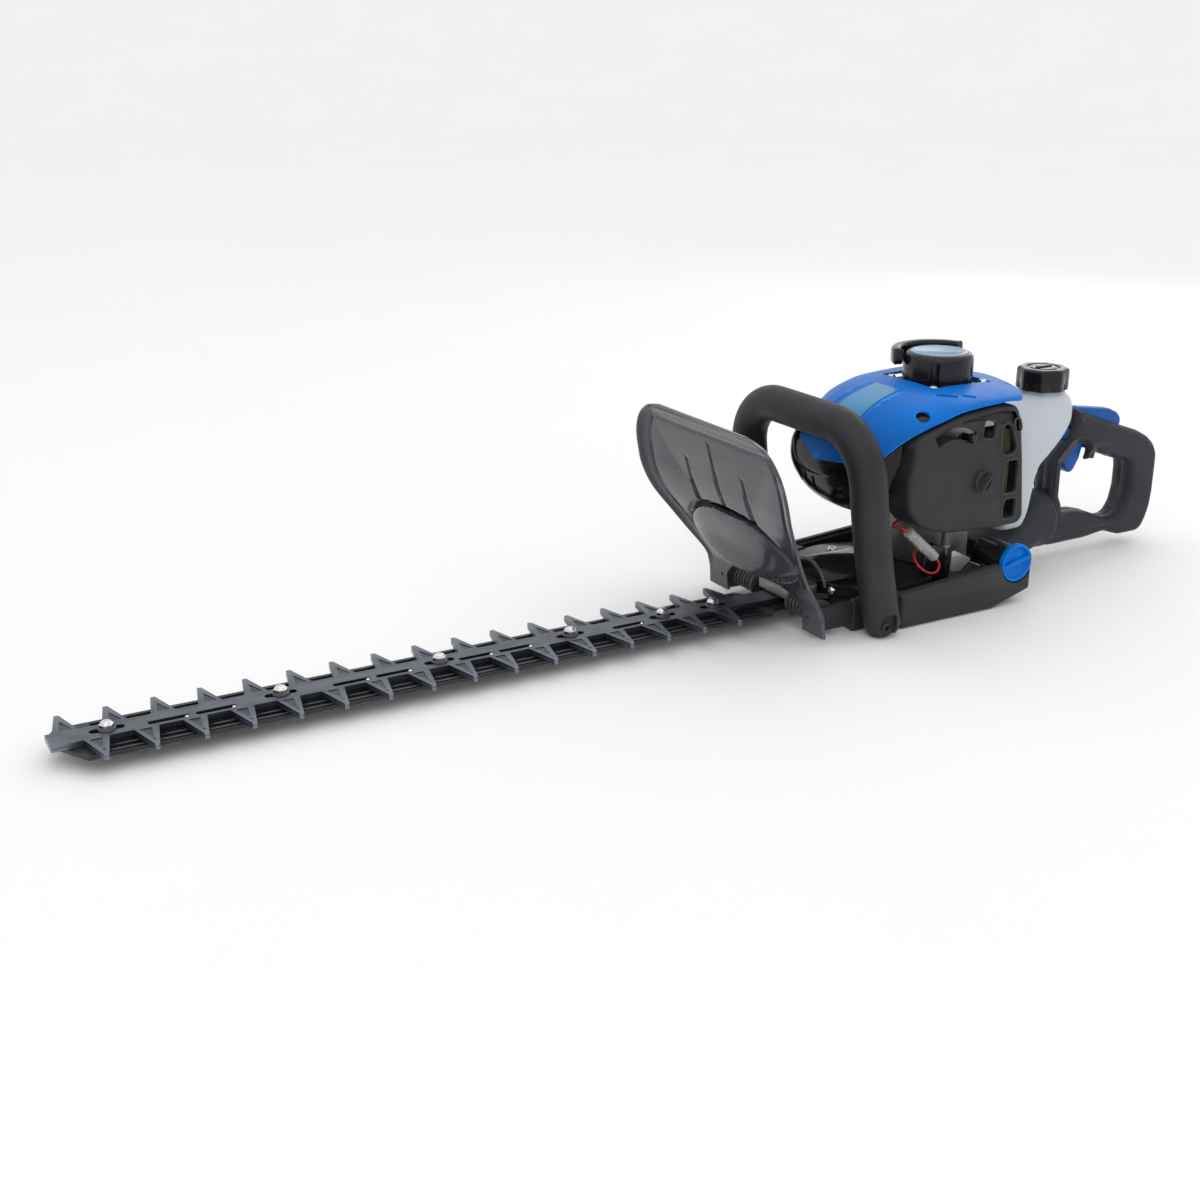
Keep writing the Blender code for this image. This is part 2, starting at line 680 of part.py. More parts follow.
def make_starter():
    housing = node("starter_housing", turned_ring("Z", (CRANK_X, 0), [
        (28, 168), (STARTER, 168), (STARTER, 196.3), (29, 198.3),
        (3.5, 198.3), (3.5, 195.3), (28, 195.3)], 28),
        "gloss_black", smooth=True)
    join(housing, prism("Z", circle(CRANK_X, 0, 4, 10), 173, 197.8))
    plate = prism("Z", rectangle(CRANK_X - 32, CRANK_X + 32, -32, 32), 168.4, 171.6)
    join(housing, plate)
    cut(housing, prism("Z", circle(CRANK_X, 0, 28, 28), 160, 176))
    join(housing, prism("Z", circle(CRANK_X, 0, 4, 10), 172.5, 180))
    pulley = [(4.6, 175), (26, 175), (26, 177), (22, 179), (22, 183), (26, 185), (26, 187), (4.6, 187)]
    node("recoil_pulley", turned_ring("Z", (CRANK_X, 0), pulley), "dark_plastic", pivot=(CRANK_X, 0, 0))
    node("starter_badge", prism("Z", circle(CRANK_X, 0, 27, 28), 198.6, 199.3), "badge_blue")
    grip = arc(CRANK_X, 0, 42, 18, 162, 14) + arc(CRANK_X, 0, 33, 162, 18, 14)
    node("starter_grip", prism("Z", grip, 187, 202), "dark_plastic", pivot=(CRANK_X, 33, 194))


# ---------------------------------------------------------------- fuel

TANK_LEVELS = (
    (32, 832, 862, 36), (40, 829, 866, 42), (60, 828, 870, 44), (88, 828, 874, 44),
    (100, 829, 893, 43), (112, 832, 915, 39), (124, 840, 929, 35), (136, 858, 933, 31),
    (144, 872, 931, 27), (147.5, 883, 927, 22), (149, 885, 925, 19.8), (163, 885, 925, 19.8),
)


def make_tank():
    rings = []
    for z, x0, x1, half in TANK_LEVELS:
        ring = []
        for i in range(20):
            angle = 2 * math.pi * i / 20
            power = 0.5 if z < 110 else 0.8
            if z > 146:
                power = 1.0
            c = math.cos(angle)
            s = math.sin(angle)
            x = (x0 + x1) / 2 + (x1 - x0) / 2 * math.copysign(abs(c) ** power, c)
            y = half * math.copysign(abs(s) ** power, s)
            ring.append((x, y, z))
        rings.append(ring)
    node("fuel_tank", loft(rings), "tank_plastic", smooth=True)
    cap = node("fuel_cap", prism("Z", circle(TANK_NECK_X, 0, 24.2, 8), 151.5, 171.5), "gloss_black",
               pivot=(TANK_NECK_X, 0, 160))
    cut(cap, prism("Z", circle(TANK_NECK_X, 0, 20.6, 20), 140, 166))


# ---------------------------------------------------------------- rear handle

HANDLE_OUTER = (
    (918, 47), (917.5, 80), (926, 88), (937, 98), (941.5, 112), (941.5, 131), (954, 125), (972, 117.5),
    (990, 111), (1011, 104), (1030, 97.5), (1045, 90), (1054, 82), (1059.5, 72), (1060, 59), (1060, 32),
    (1058.5, 17), (1055, 6), (1050, -4), (1044, -8), (1020, -8), (998, -1), (972, -4), (930, -4.5),
    (918, -4),
)
HANDLE_INNER = (
    (928, 51), (927.5, 79), (935, 86), (946, 96), (961, 93), (963.5, 85), (960.5, 77), (966, 75.5),
    (969, 82), (975, 84), (984, 79), (995, 77), (1002, 72.5), (1013, 71), (1021, 67), (1023, 57),
    (1023, 38), (1020, 24), (1015, 16), (1008, 12.5), (997, 13), (975, 22), (961, 25.5), (938, 27),
    (935, 38),
)
TRIGGER_PIVOT = (944.0, 106.0)
LOCKOUT_PIVOT = (952.0, 122.0)


def half_disc(x, radius, side, steps=10):
    """Half of a hub section, flat on the parting plane."""
    section = arc(0, SWIVEL_Z, radius, -90, 90, steps)
    return [(x, side * max(y, 0.15), z) for y, z in section]


def make_rear_handle():
    for name, side in (("left", -1), ("right", 1)):
        slab = sorted((side * 0.15, side * GRIP_HALF))
        shell = node(f"rear_handle_{name}", prism("Y", list(HANDLE_OUTER), *slab), "dark_plastic",
                     pivot=(SWIVEL_X, 0, SWIVEL_Z))
        cut(shell, prism("Y", list(HANDLE_INNER), -30, 30))
        hub = [half_disc(x, r, side) for x, r in ((SWIVEL_X + 0.4, HUB), (926, HUB - 1), (933, HUB - 8))]
        join(shell, loft(hub))
        trigger_room = rectangle(936, 976, 60, 112)
        cut(shell, prism("Y", trigger_room, -7, 7))
        lockout_room = [(945, 140), (945, 115), (958, 113), (990, 103), (1004, 97), (1013, 97),
                        (1013, 140)]
        cut(shell, prism("Y", lockout_room, -6.4, 6.4))
        cut(shell, prism("X", circle(0, SWIVEL_Z, 5.4, 12), SWIVEL_X - 5, 928))


def make_rear_controls():
    trigger = [(939, 104), (940, 92), (936.5, 82), (940, 70), (946, 64.5), (951, 66), (958, 78),
               (961, 90), (958, 101), (949, 108), (942, 109)]
    node("trigger", prism("Y", trigger, -6.2, 6.2), "blue_plastic",
         pivot=(TRIGGER_PIVOT[0], 0, TRIGGER_PIVOT[1]))
    lockout = [(947, 118), (960, 116.5), (990, 107), (1003, 103), (1009.5, 105.5), (1008, 113),
               (1003, 118), (993, 122.5), (970, 126), (950, 129), (946.5, 126)]
    node("lockout_lever", prism("Y", lockout, -5.6, 5.6), "blue_plastic",
         pivot=(LOCKOUT_PIVOT[0], 0, LOCKOUT_PIVOT[1]))


def make_swivel_mount():
    rings = []
    for x, middle, half_width, half_height in ((828.4, 5, 34, 12), (856, 7, 31, 15), (880, 15, 29, 23),
                                               (900, 24, 28.5, 28.5), (915, 24, 28.5, 28.5)):
        ring = []
        for i in range(20):
            angle = 2 * math.pi * i / 20
            ring.append((x, half_width * math.cos(angle), middle + half_height * math.sin(angle)))
        rings.append(ring)
    mount = node("swivel_mount", loft(rings), "dark_plastic", smooth=True)
    cut(mount, prism("X", circle(0, SWIVEL_Z, 5.4, 12), 897, 920))
    node("swivel_pin", prism("X", circle(0, SWIVEL_Z, 5, 12), 898, 927), "machined_steel")


# ---------------------------------------------------------------- wiring

def make_wiring():
    """The stop switch lead and its in-line connector, clipped beside the gear case."""
    upper_end = (703, -60, 58)
    lower_end = (735, -60, 30)
    node("wire_connector", tube([upper_end, (712, -60, 50.1), (726, -60, 37.9), lower_end], 5, 8),
         "clear_plastic")
    upper = smooth_path([(702.5, -60, 58.5), (697, -58, 62), (694, -50, 61), (700, -42, 60), (709, -40, 62)])
    node("stop_wire_upper", tube(upper, 1.3, 6), "red_wire")
    lower = smooth_path([(735.5, -60, 29.6), (741, -60.5, 22), (737, -61, 15.5), (727, -60, 17),
                         (719, -56, 25), (722, -48, 32), (734, -42, 33)])
    node("stop_wire_lower", tube(lower, 1.3, 6), "red_wire")


clear_scene()
FRAME = make_frame()
make_blades()
make_guide_bar()
make_bar_bolts()
make_guard()
make_front_handle()
make_base()
make_rear_tubes()
make_springs()
make_clamp_block()
make_gear_case()
make_drive_gear()
make_clutch()
make_crank()
make_piston()
make_crankcase()
make_cylinder()
make_exhaust()
make_filter_cover()
make_intake()
make_cowl()
make_starter()
make_tank()
make_rear_handle()
make_rear_controls()
make_swivel_mount()
make_wiring()
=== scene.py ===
import json
import math

import bpy
import bmesh
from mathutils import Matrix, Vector
from mathutils.geometry import tessellate_polygon


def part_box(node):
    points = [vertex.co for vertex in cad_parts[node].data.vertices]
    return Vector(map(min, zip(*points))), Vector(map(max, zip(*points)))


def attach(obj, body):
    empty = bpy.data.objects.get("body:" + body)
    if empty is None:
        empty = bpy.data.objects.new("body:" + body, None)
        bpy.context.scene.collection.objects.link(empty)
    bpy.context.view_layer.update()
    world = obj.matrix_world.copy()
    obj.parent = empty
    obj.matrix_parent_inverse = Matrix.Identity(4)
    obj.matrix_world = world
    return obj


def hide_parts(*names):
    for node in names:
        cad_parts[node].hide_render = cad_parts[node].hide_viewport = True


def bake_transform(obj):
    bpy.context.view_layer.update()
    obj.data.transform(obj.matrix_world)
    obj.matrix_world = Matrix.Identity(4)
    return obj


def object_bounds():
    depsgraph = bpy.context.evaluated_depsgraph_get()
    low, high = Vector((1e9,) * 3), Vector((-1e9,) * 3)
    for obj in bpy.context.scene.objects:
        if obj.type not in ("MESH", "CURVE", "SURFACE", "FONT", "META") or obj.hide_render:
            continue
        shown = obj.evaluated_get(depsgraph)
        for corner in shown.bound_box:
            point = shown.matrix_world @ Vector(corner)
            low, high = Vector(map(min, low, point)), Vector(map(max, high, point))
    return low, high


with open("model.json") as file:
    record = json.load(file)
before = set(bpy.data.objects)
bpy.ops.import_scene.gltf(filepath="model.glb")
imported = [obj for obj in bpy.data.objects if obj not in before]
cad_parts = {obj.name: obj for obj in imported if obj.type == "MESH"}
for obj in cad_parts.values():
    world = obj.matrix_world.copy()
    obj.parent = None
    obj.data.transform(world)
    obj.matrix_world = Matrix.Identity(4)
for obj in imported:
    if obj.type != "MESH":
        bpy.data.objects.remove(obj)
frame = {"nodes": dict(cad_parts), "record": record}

CAD_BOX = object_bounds()
NODES = frame["nodes"]
MM = 0.001

SIDES = (("left", -1), ("right", 1))

# The shape code below works in millimetres from the first tooth: +X to the rear handle, z = 0 at the
# top of the upper blade. The blade's own box ties those numbers to the frame.
BLADE_END = -14.0
BLADE_LOW, BLADE_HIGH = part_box("upper_blade")
SHIFT = Vector((BLADE_LOW.x - BLADE_END * MM, 0.0, BLADE_HIGH.z))


# ---------------------------------------------------------------- materials

LOOKS = {}


class Graph:
    """A material's node tree with short calls for the nodes that the looks use."""

    def __init__(self, name):
        self.name = name
        self.material = bpy.data.materials.new(name)
        self.material.use_nodes = True
        self.tree = self.material.node_tree
        self.shader = self.tree.nodes["Principled BSDF"]
        coordinates = self.tree.nodes.new("ShaderNodeTexCoord")
        self.place = coordinates.outputs["Object"]

    def add(self, kind, output, **inputs):
        """One output of a new node; each input may be a value or a socket."""
        node = self.tree.nodes.new("ShaderNode" + kind)
        for key, value in inputs.items():
            socket = node.inputs[key.replace("_", " ")]
            if isinstance(value, bpy.types.NodeSocket):
                self.tree.links.new(value, socket)
            else:
                socket.default_value = value
        return node.outputs[output]

    def set(self, **values):
        for key, value in values.items():
            self.shader.inputs[key.replace("_", " ")].default_value = value

    def noise(self, scale, detail=3.0, rough=0.5, stretch=None):
        place = self.add("Mapping", "Vector", Scale=stretch, Vector=self.place) if stretch else self.place
        return self.add("TexNoise", "Fac", Scale=scale, Detail=detail, Roughness=rough, Vector=place)

    def cells(self, scale):
        return self.add("TexVoronoi", "Distance", Scale=scale, Vector=self.place)

    def ramp(self, source, low, high, start=0.0, end=1.0):
        """Maps source from low..high to start..end, clamped."""
        return self.add("MapRange", "Result", Value=source, From_Min=low, From_Max=high,
                        To_Min=start, To_Max=end)

    def mix(self, factor, first, second):
        """A colour between first and second; either may be a colour or a socket."""
        node = self.tree.nodes.new("ShaderNodeMix")
        node.data_type = "RGBA"
        self.tree.links.new(factor, node.inputs[0])
        for socket, value in ((node.inputs[6], first), (node.inputs[7], second)):
            if isinstance(value, tuple):
                socket.default_value = (*value, 1.0)
            else:
                self.tree.links.new(value, socket)
        return node.outputs[2]

    def edges(self):
        """Nearly 1 on sharp outer edges, 0 on flat faces: the mask for the painted edge highlights."""
        return self.ramp(self.add("NewGeometry", "Pointiness"), 0.52, 0.6)

    def bump(self, height, strength, distance, **below):
        return self.add("Bump", "Normal", Strength=strength, Distance=distance, Height=height, **below)

    def finish(self, colour, roughness, normal):
        for name, socket in (("Base Color", colour), ("Roughness", roughness), ("Normal", normal)):
            self.tree.links.new(socket, self.shader.inputs[name])
        LOOKS[self.name] = self.material
        return self.material


def moulded(name, dark, light, roughness, grain=0.03, grain_scale=1400.0, coat=0.0, edge=None, level=0.5):
    """Injection-moulded plastic: fine eroded grain, faint flow marks, handling sheen and edges paled by a
    painted highlight.
    """
    g = Graph(name)
    flow = g.noise(9.0, 4.0, 0.6)
    colour = g.mix(g.ramp(flow, 0.35, 0.65), dark, light)
    specks = g.noise(900.0, 2.0)
    colour = g.mix(g.ramp(specks, 0.62, 0.78, 0.0, 0.35), colour, light)
    # The edge colour is a painted highlight, mixed in where the edges mask finds sharp edges.
    if edge:
        colour = g.mix(g.edges(), colour, edge)
    rub = g.noise(26.0, 5.0, 0.65)
    rough = g.ramp(rub, 0.3, 0.7, roughness * 0.86, min(roughness * 1.16, 1.0))
    fine = g.bump(g.cells(grain_scale), grain * 6, 0.0002)
    normal = g.bump(g.noise(60.0, 2.0), grain, 0.002, Normal=fine)
    g.set(Metallic=0.0, Specular_IOR_Level=level, Coat_Weight=coat, Coat_Roughness=0.08)
    g.finish(colour, rough, normal)


def metal(name, dark, light, roughness, metallic=1.0, brushed=None, pits=0.1, edge=None):
    """Metal with tool marks along one axis or cast pits, stains and edges brightened by a painted highlight.
    """
    g = Graph(name)
    stain = g.noise(35.0, 5.0, 0.6)
    colour = g.mix(g.ramp(stain, 0.35, 0.7), dark, light)
    # The edge colour is a painted highlight, mixed in on sharp edges.
    if edge:
        colour = g.mix(g.edges(), colour, edge)
    if brushed:
        lines = g.noise(60.0, 3.0, 0.6, brushed)
    else:
        lines = g.noise(420.0, 3.0, 0.6)
    rough = g.ramp(lines, 0.3, 0.7, roughness * 0.75, min(roughness * 1.3, 1.0))
    normal = g.bump(lines, pits, 0.001)
    g.set(Metallic=metallic)
    g.finish(colour, rough, normal)


def tank_look():
    g = Graph("tank_plastic")
    cloud = g.noise(14.0, 4.0)
    colour = g.mix(g.ramp(cloud, 0.3, 0.7), (0.49, 0.53, 0.58), (0.56, 0.60, 0.65))
    g.set(Metallic=0.0, Subsurface_Weight=0.35, Subsurface_Scale=0.006, Coat_Weight=0.15, Coat_Roughness=0.2)
    normal = g.bump(g.noise(260.0, 3.0), 0.05, 0.0006)
    g.finish(colour, g.ramp(g.noise(40.0), 0.3, 0.7, 0.32, 0.46), normal)


def clear_look():
    g = Graph("clear_plastic")
    haze = g.noise(120.0, 3.0)
    colour = g.mix(haze, (0.80, 0.80, 0.77), (0.92, 0.92, 0.90))
    g.set(Metallic=0.0, Transmission_Weight=0.65, IOR=1.46)
    g.finish(colour, g.ramp(haze, 0.3, 0.7, 0.12, 0.3), g.bump(haze, 0.08, 0.0008))


# In the looks below, the colour given as the eighth argument, the edge colour, is a painted highlight on
# sharp edges.
metal("blade_steel", (0.040, 0.046, 0.062), (0.075, 0.085, 0.110), 0.36, 0.85, (0.2, 6.0, 1.0), 0.06,
      (0.30, 0.33, 0.38))
metal("bar_steel", (0.005, 0.005, 0.007), (0.011, 0.011, 0.014), 0.4, 0.3, (0.3, 4.0, 1.0), 0.05,
      (0.05, 0.05, 0.06))
# The rib look is a paler, shinier copy of bar_steel: a painted highlight for the light along the raised ribs.
metal("bar_ribs_painted_highlight", (0.030, 0.029, 0.031), (0.060, 0.058, 0.062), 0.4, 0.6, (0.3, 4.0, 1.0), 0.05,
      (0.12, 0.12, 0.13))
metal("foil", (0.50, 0.50, 0.55), (0.72, 0.72, 0.78), 0.35, 0.8, None, 0.12, (0.8, 0.8, 0.85))
metal("zinc", (0.50, 0.51, 0.53), (0.82, 0.82, 0.80), 0.2, 1.0, None, 0.05, (0.95, 0.95, 0.93))
moulded("smoke_plastic", (0.034, 0.030, 0.042), (0.048, 0.043, 0.056), 0.2, 0.008, 700.0, 0.35,
        (0.10, 0.095, 0.115), 0.35)
moulded("dark_plastic", (0.020, 0.020, 0.023), (0.030, 0.030, 0.034), 0.5, 0.05, 1500.0, 0.0,
        (0.055, 0.055, 0.060), 0.28)
moulded("handle_plastic", (0.017, 0.019, 0.025), (0.026, 0.029, 0.037), 0.48, 0.05, 1500.0, 0.0,
        (0.055, 0.058, 0.070), 0.28)
moulded("blue_plastic", (0.0, 0.125, 0.500), (0.0, 0.155, 0.600), 0.38, 0.02, 1100.0, 0.04,
        (0.0, 0.22, 0.72), 0.12)
moulded("gloss_black", (0.004, 0.004, 0.005), (0.008, 0.008, 0.010), 0.18, 0.012, 600.0, 0.22,
        (0.03, 0.03, 0.034), 0.2)
metal("cast_metal", (0.095, 0.092, 0.090), (0.190, 0.185, 0.180), 0.5, 0.85, None, 0.35, (0.42, 0.42, 0.40))
metal("machined_steel", (0.36, 0.36, 0.37), (0.52, 0.52, 0.53), 0.26, 1.0, (6.0, 6.0, 0.3), 0.05,
      (0.8, 0.8, 0.8))
metal("spring_steel", (0.012, 0.012, 0.013), (0.03, 0.03, 0.032), 0.3, 0.5, None, 0.05, (0.10, 0.10, 0.10))
tank_look()
moulded("ceramic", (0.78, 0.78, 0.75), (0.86, 0.86, 0.83), 0.2, 0.01, 500.0, 0.5)
moulded("filter_foam", (0.020, 0.022, 0.008), (0.055, 0.060, 0.014), 0.9, 0.3, 500.0)
moulded("red_wire", (0.50, 0.006, 0.012), (0.66, 0.012, 0.022), 0.32, 0.02, 900.0, 0.3)
clear_look()
moulded("badge_blue", (0.13, 0.25, 0.40), (0.20, 0.34, 0.50), 0.28, 0.01, 800.0, 0.25, None, 0.35)
moulded("control_blue", (0.0, 0.075, 0.32), (0.0, 0.095, 0.40), 0.38, 0.02, 1100.0, 0.05,
        (0.01, 0.15, 0.52), 0.25)
moulded("label_teal", (0.0, 0.19, 0.42), (0.01, 0.25, 0.46), 0.30, 0.01, 900.0, 0.3)
moulded("rope", (0.05, 0.05, 0.05), (0.12, 0.12, 0.12), 0.8, 0.3, 500.0)


# ---------------------------------------------------------------- outlines, in millimetres

def arc(cx, cy, radius, start, end, steps):
    """Points of a circular arc, angles in degrees, both ends included."""
    points = []
    for i in range(steps + 1):
        angle = math.radians(start + (end - start) * i / steps)
        points.append((cx + radius * math.cos(angle), cy + radius * math.sin(angle)))
    return points


def circle(cx, cy, radius, steps=40):
    return arc(cx, cy, radius, 0, 360, steps)[:-1]


def rectangle(x0, x1, y0, y1):
    return [(x0, y0), (x1, y0), (x1, y1), (x0, y1)]


def fillet(outline, radius, steps=6):
    """The outline with every corner rounded, by less where its sides are short."""
    count = len(outline)
    out = []
    for i in range(count):
        before, here, after = (Vector(outline[(i + k) % count]) for k in (-1, 0, 1))
        back = before - here
        ahead = after - here
        corner = back.angle(ahead)
        reach = min(radius / math.tan(corner / 2), back.length * 0.48, ahead.length * 0.48)
        start = here + back.normalized() * reach
        end = here + ahead.normalized() * reach
        if math.degrees(corner) > 176:
            out.append(tuple(here))
            continue
        for k in range(steps + 1):
            t = k / steps
            out.append(tuple(start * (1 - t) ** 2 + here * 2 * t * (1 - t) + end * t ** 2))
    return out


def even(outline, spacing):
    """The same closed outline with points at equal distances."""
    loop = [Vector(p) for p in outline] + [Vector(outline[0])]
    lengths = [0.0]
    for a, b in zip(loop, loop[1:]):
        lengths.append(lengths[-1] + (b - a).length)
    count = max(int(lengths[-1] / spacing), 8)
    out = []
    k = 0
    for i in range(count):
        target = lengths[-1] * i / count
        while lengths[k + 1] < target:
            k += 1
        t = (target - lengths[k]) / (lengths[k + 1] - lengths[k])
        out.append(tuple(loop[k].lerp(loop[k + 1], t)))
    return out


def smoothed(outline, radius, spacing, steps=6):
    """The outline with rounded corners and evenly spaced points."""
    return even(fillet(outline, radius, steps), spacing)


def slot_outline(x, y, half, radius):
    """A round-ended slot about (x, y), with its ends' centres at half from there."""
    return arc(x + half, y, radius, -90, 90, 8) + arc(x - half, y, radius, 90, 270, 8)


def signed_power(value, power):
    return math.copysign(abs(value) ** power, value)


def superellipse(x, y, wide, tall, power, count):
    """A closed outline about (x, y), squarer than an ellipse where the power is under 1."""
    turns = [2 * math.pi * i / count for i in range(count)]
    return [(x + wide * signed_power(math.cos(t), power), y + tall * signed_power(math.sin(t), power))
            for t in turns]


def inset(outline, amount):
    """The outline moved inwards by amount, or outwards where amount is negative."""
    count = len(outline)
    area = sum(a[0] * b[1] - b[0] * a[1] for a, b in zip(outline, outline[1:] + outline[:1]))
    turn = 1 if area > 0 else -1
    moved = []
    for i in range(count):
        a = Vector(outline[i - 1])
        b = Vector(outline[(i + 1) % count])
        along = (b - a).normalized()
        normal = Vector((-along.y, along.x)) * turn
        moved.append(tuple(Vector(outline[i]) + normal * amount))
    return moved


def spline(stations, per_span):
    """Rows of numbers on a smooth curve through the given rows."""
    rows = [list(s) for s in stations]
    rows = [[2 * a - b for a, b in zip(rows[0], rows[1])]] + rows
    rows.append([2 * a - b for a, b in zip(rows[-1], rows[-2])])
    out = []
    for p, q, r, s in zip(rows, rows[1:], rows[2:], rows[3:]):
        for i in range(per_span):
            t = i / per_span
            out.append([0.5 * (2 * b + (c - a) * t + (2 * a - 5 * b + 4 * c - d) * t ** 2
                               + (3 * b - a - 3 * c + d) * t ** 3)
                        for a, b, c, d in zip(p, q, r, s)])
    out.append(rows[-2])
    return out


def step(low, high, value):
    """0 below low, 1 above high, and a smooth rise between."""
    t = min(max((value - low) / (high - low), 0.0), 1.0)
    return t * t * (3 - 2 * t)


def bell(distance, width):
    """1 in the middle, falling smoothly to nothing at width."""
    return 1 - step(0.0, width, abs(distance))


# ---------------------------------------------------------------- solids, in millimetres

class Solid:
    """Points in millimetres and faces over them."""

    def __init__(self, points=(), faces=()):
        self.points = list(points)
        self.faces = list(faces)

    def add(self, other):
        first = len(self.points)
        self.points += other.points
        self.faces += [tuple(first + i for i in face) for face in other.faces]
        return self


def lay(axis, a, b, h):
    if axis == "X":
        return (h, a, b)
    if axis == "Y":
        return (a, h, b)
    return (a, b, h)


def loft(rings, capped=True):
    """A body through rings of equal point count."""
    count = len(rings[0])
    points = [p for ring in rings for p in ring]
    faces = []
    if capped:
        faces += [tuple(range(count)), tuple(range(len(points) - count, len(points)))]
    for r in range(len(rings) - 1):
        for i in range(count):
            j = (i + 1) % count
            low = r * count
            faces.append((low + i, low + j, low + count + j, low + count + i))
    return Solid(points, faces)


def sheet(rows):
    """An open surface through rows of equal point count."""
    count = len(rows[0])
    points = [p for row in rows for p in row]
    faces = []
    for r in range(len(rows) - 1):
        for i in range(count - 1):
            low = r * count + i
            faces.append((low, low + 1, low + count + 1, low + count))
    return Solid(points, faces)


def prism(axis, outline, low, high):
    return loft([[lay(axis, a, b, h) for a, b in outline] for h in (low, high)])


def turned(axis, centre, profile, steps=40):
    """A body turned about an axis; profile holds (radius, height) from end to end."""
    return loft([[lay(axis, a, b, h) for a, b in circle(*centre, max(r, 0.01), steps)] for r, h in profile])


def tube(path, radius, sides=12):
    """A round bar along a path; radius may be a number or a function of the share of the path."""
    path = [Vector(p) for p in path]
    rings = []
    side = None
    for i, here in enumerate(path):
        along = (path[min(i + 1, len(path) - 1)] - path[max(i - 1, 0)]).normalized()
        if side is None:
            side = along.orthogonal().normalized()
        side = (side - along * side.dot(along)).normalized()
        up = along.cross(side)
        size = radius(i / (len(path) - 1)) if callable(radius) else radius
        rings.append([tuple(here + (side * a + up * b) * size) for a, b in circle(0, 0, 1, sides)])
    return loft(rings)


def edge_profile(low, high, radius, steps=5, both=False):
    """(inset, height) stations of a wall from low to high with a rounded edge at high, or at both."""
    turn = 1 if high > low else -1
    turns = [math.pi / 2 * i / steps for i in range(steps + 1)]
    out = [(0.0, low)]
    if both:
        out = [(radius * (1 - math.sin(t)), low + turn * radius * (1 - math.cos(t))) for t in turns]
    return out + [(radius * (1 - math.cos(t)), high - turn * radius * (1 - math.sin(t))) for t in turns]


def plate(axis, *loops):
    """A plate with holes. Each loop is (outline, [(inset into the material, height), ...]); the first
    loop is the outside, and all loops start on one flat face and end on the other."""
    solid = Solid()
    ends = ([], [])
    for number, (outline, profile) in enumerate(loops):
        sign = -1 if number else 1
        rings = []
        for amount, height in profile:
            moved = inset(outline, sign * amount)
            rings.append([lay(axis, a, b, height) for a, b in moved])
        first = len(solid.points)
        solid.add(loft(rings, capped=False))
        count = len(outline)
        ends[0].append(range(first, first + count))
        ends[1].append(range(len(solid.points) - count, len(solid.points)))
    for loop_ids in ends:
        flat = [[Vector(solid.points[i]) for i in ids] for ids in loop_ids]
        ids = [i for run in loop_ids for i in run]
        solid.faces += [tuple(ids[k] for k in face) for face in tessellate_polygon(flat)]
    return solid


def slab(axis, outline, radius, spacing, walls, steps=6):
    """A plate without holes, from an outline whose corners it rounds."""
    return plate(axis, (smoothed(outline, radius, spacing, steps), walls))


def rim_ring(axis, outline, profile):
    """A closed ring round an outline; profile holds (inset, height) stations of its section."""
    rings = [[lay(axis, a, b, h) for a, b in inset(outline, amount)] for amount, h in profile + profile[:1]]
    return loft(rings, capped=False)


def turned_ring(axis, centre, profile, steps=40):
    """A turned body with a bore: the profile is a closed loop of (radius, height)."""
    rings = [[lay(axis, centre[0] + r * c, centre[1] + r * s, h) for r, h in profile]
             for c, s in circle(0, 0, 1, steps)]
    return loft(rings + rings[:1], capped=False)


# ---------------------------------------------------------------- pieces

ENGINE = "engine_and_base"


def mesh_object(name, solid):
    bm = bmesh.new()
    verts = [bm.verts.new(Vector(p) * MM + SHIFT) for p in solid.points]
    for face in solid.faces:
        if len(set(face)) > 2:
            bm.faces.new([verts[i] for i in face])
    bmesh.ops.remove_doubles(bm, verts=bm.verts[:], dist=0.000001)
    bmesh.ops.recalc_face_normals(bm, faces=bm.faces[:])
    mesh = bpy.data.meshes.new(name)
    bm.to_mesh(mesh)
    bm.free()
    piece = bpy.data.objects.new(name, mesh)
    bpy.context.scene.collection.objects.link(piece)
    return piece


def bake(piece):
    """Turns the piece's modifiers into plain mesh."""
    bpy.context.view_layer.update()
    graph = bpy.context.evaluated_depsgraph_get()
    mesh = bpy.data.meshes.new_from_object(piece.evaluated_get(graph))
    piece.modifiers.clear()
    piece.data = mesh
    return piece


def shell(name, rows, thickness):
    """A piece of even thickness under the surface through rows of points."""
    piece = mesh_object(name, sheet(rows))
    change = piece.modifiers.new("thickness", "SOLIDIFY")
    change.thickness = thickness * MM
    change.offset = -1.0
    change.use_even_offset = True
    return bake(piece)


def carve(piece, *solids, operation="DIFFERENCE"):
    """Cuts the solids from the piece, or joins them to it."""
    tools = []
    for solid in solids:
        tool = mesh_object("tool", solid)
        tools.append(tool)
        change = piece.modifiers.new("cut", "BOOLEAN")
        change.operation = operation
        change.object = tool
    bake(piece)
    for tool in tools:
        bpy.data.objects.remove(tool)
    return piece


def soften(piece, width, angle=35, segments=2):
    """Rounds the hard edges and shades the piece smooth."""
    edge = piece.modifiers.new("edge", "BEVEL")
    edge.width = width * MM
    edge.segments = segments
    edge.limit_method = "ANGLE"
    edge.angle_limit = math.radians(angle)
    edge.use_clamp_overlap = True
    edge.harden_normals = True
    piece.data.shade_smooth()
    return piece


def dress(piece, look, body=ENGINE, nodes=()):
    """Gives the piece its material, its body and the CAD nodes that it stands for."""
    piece.data.materials.clear()
    piece.data.materials.append(LOOKS[look])
    if not piece.modifiers:
        piece.data.shade_smooth()
        piece.data.set_sharp_from_angle(angle=math.radians(40))
    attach(piece, body)
    if nodes:
        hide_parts(*nodes)
    return piece


def place(name, solid, look, body=ENGINE, slot=None, nodes=()):
    """A finished piece, straight from its solid."""
    return dress(mesh_object(name, solid), look, body, nodes)


# ---------------------------------------------------------------- front guard

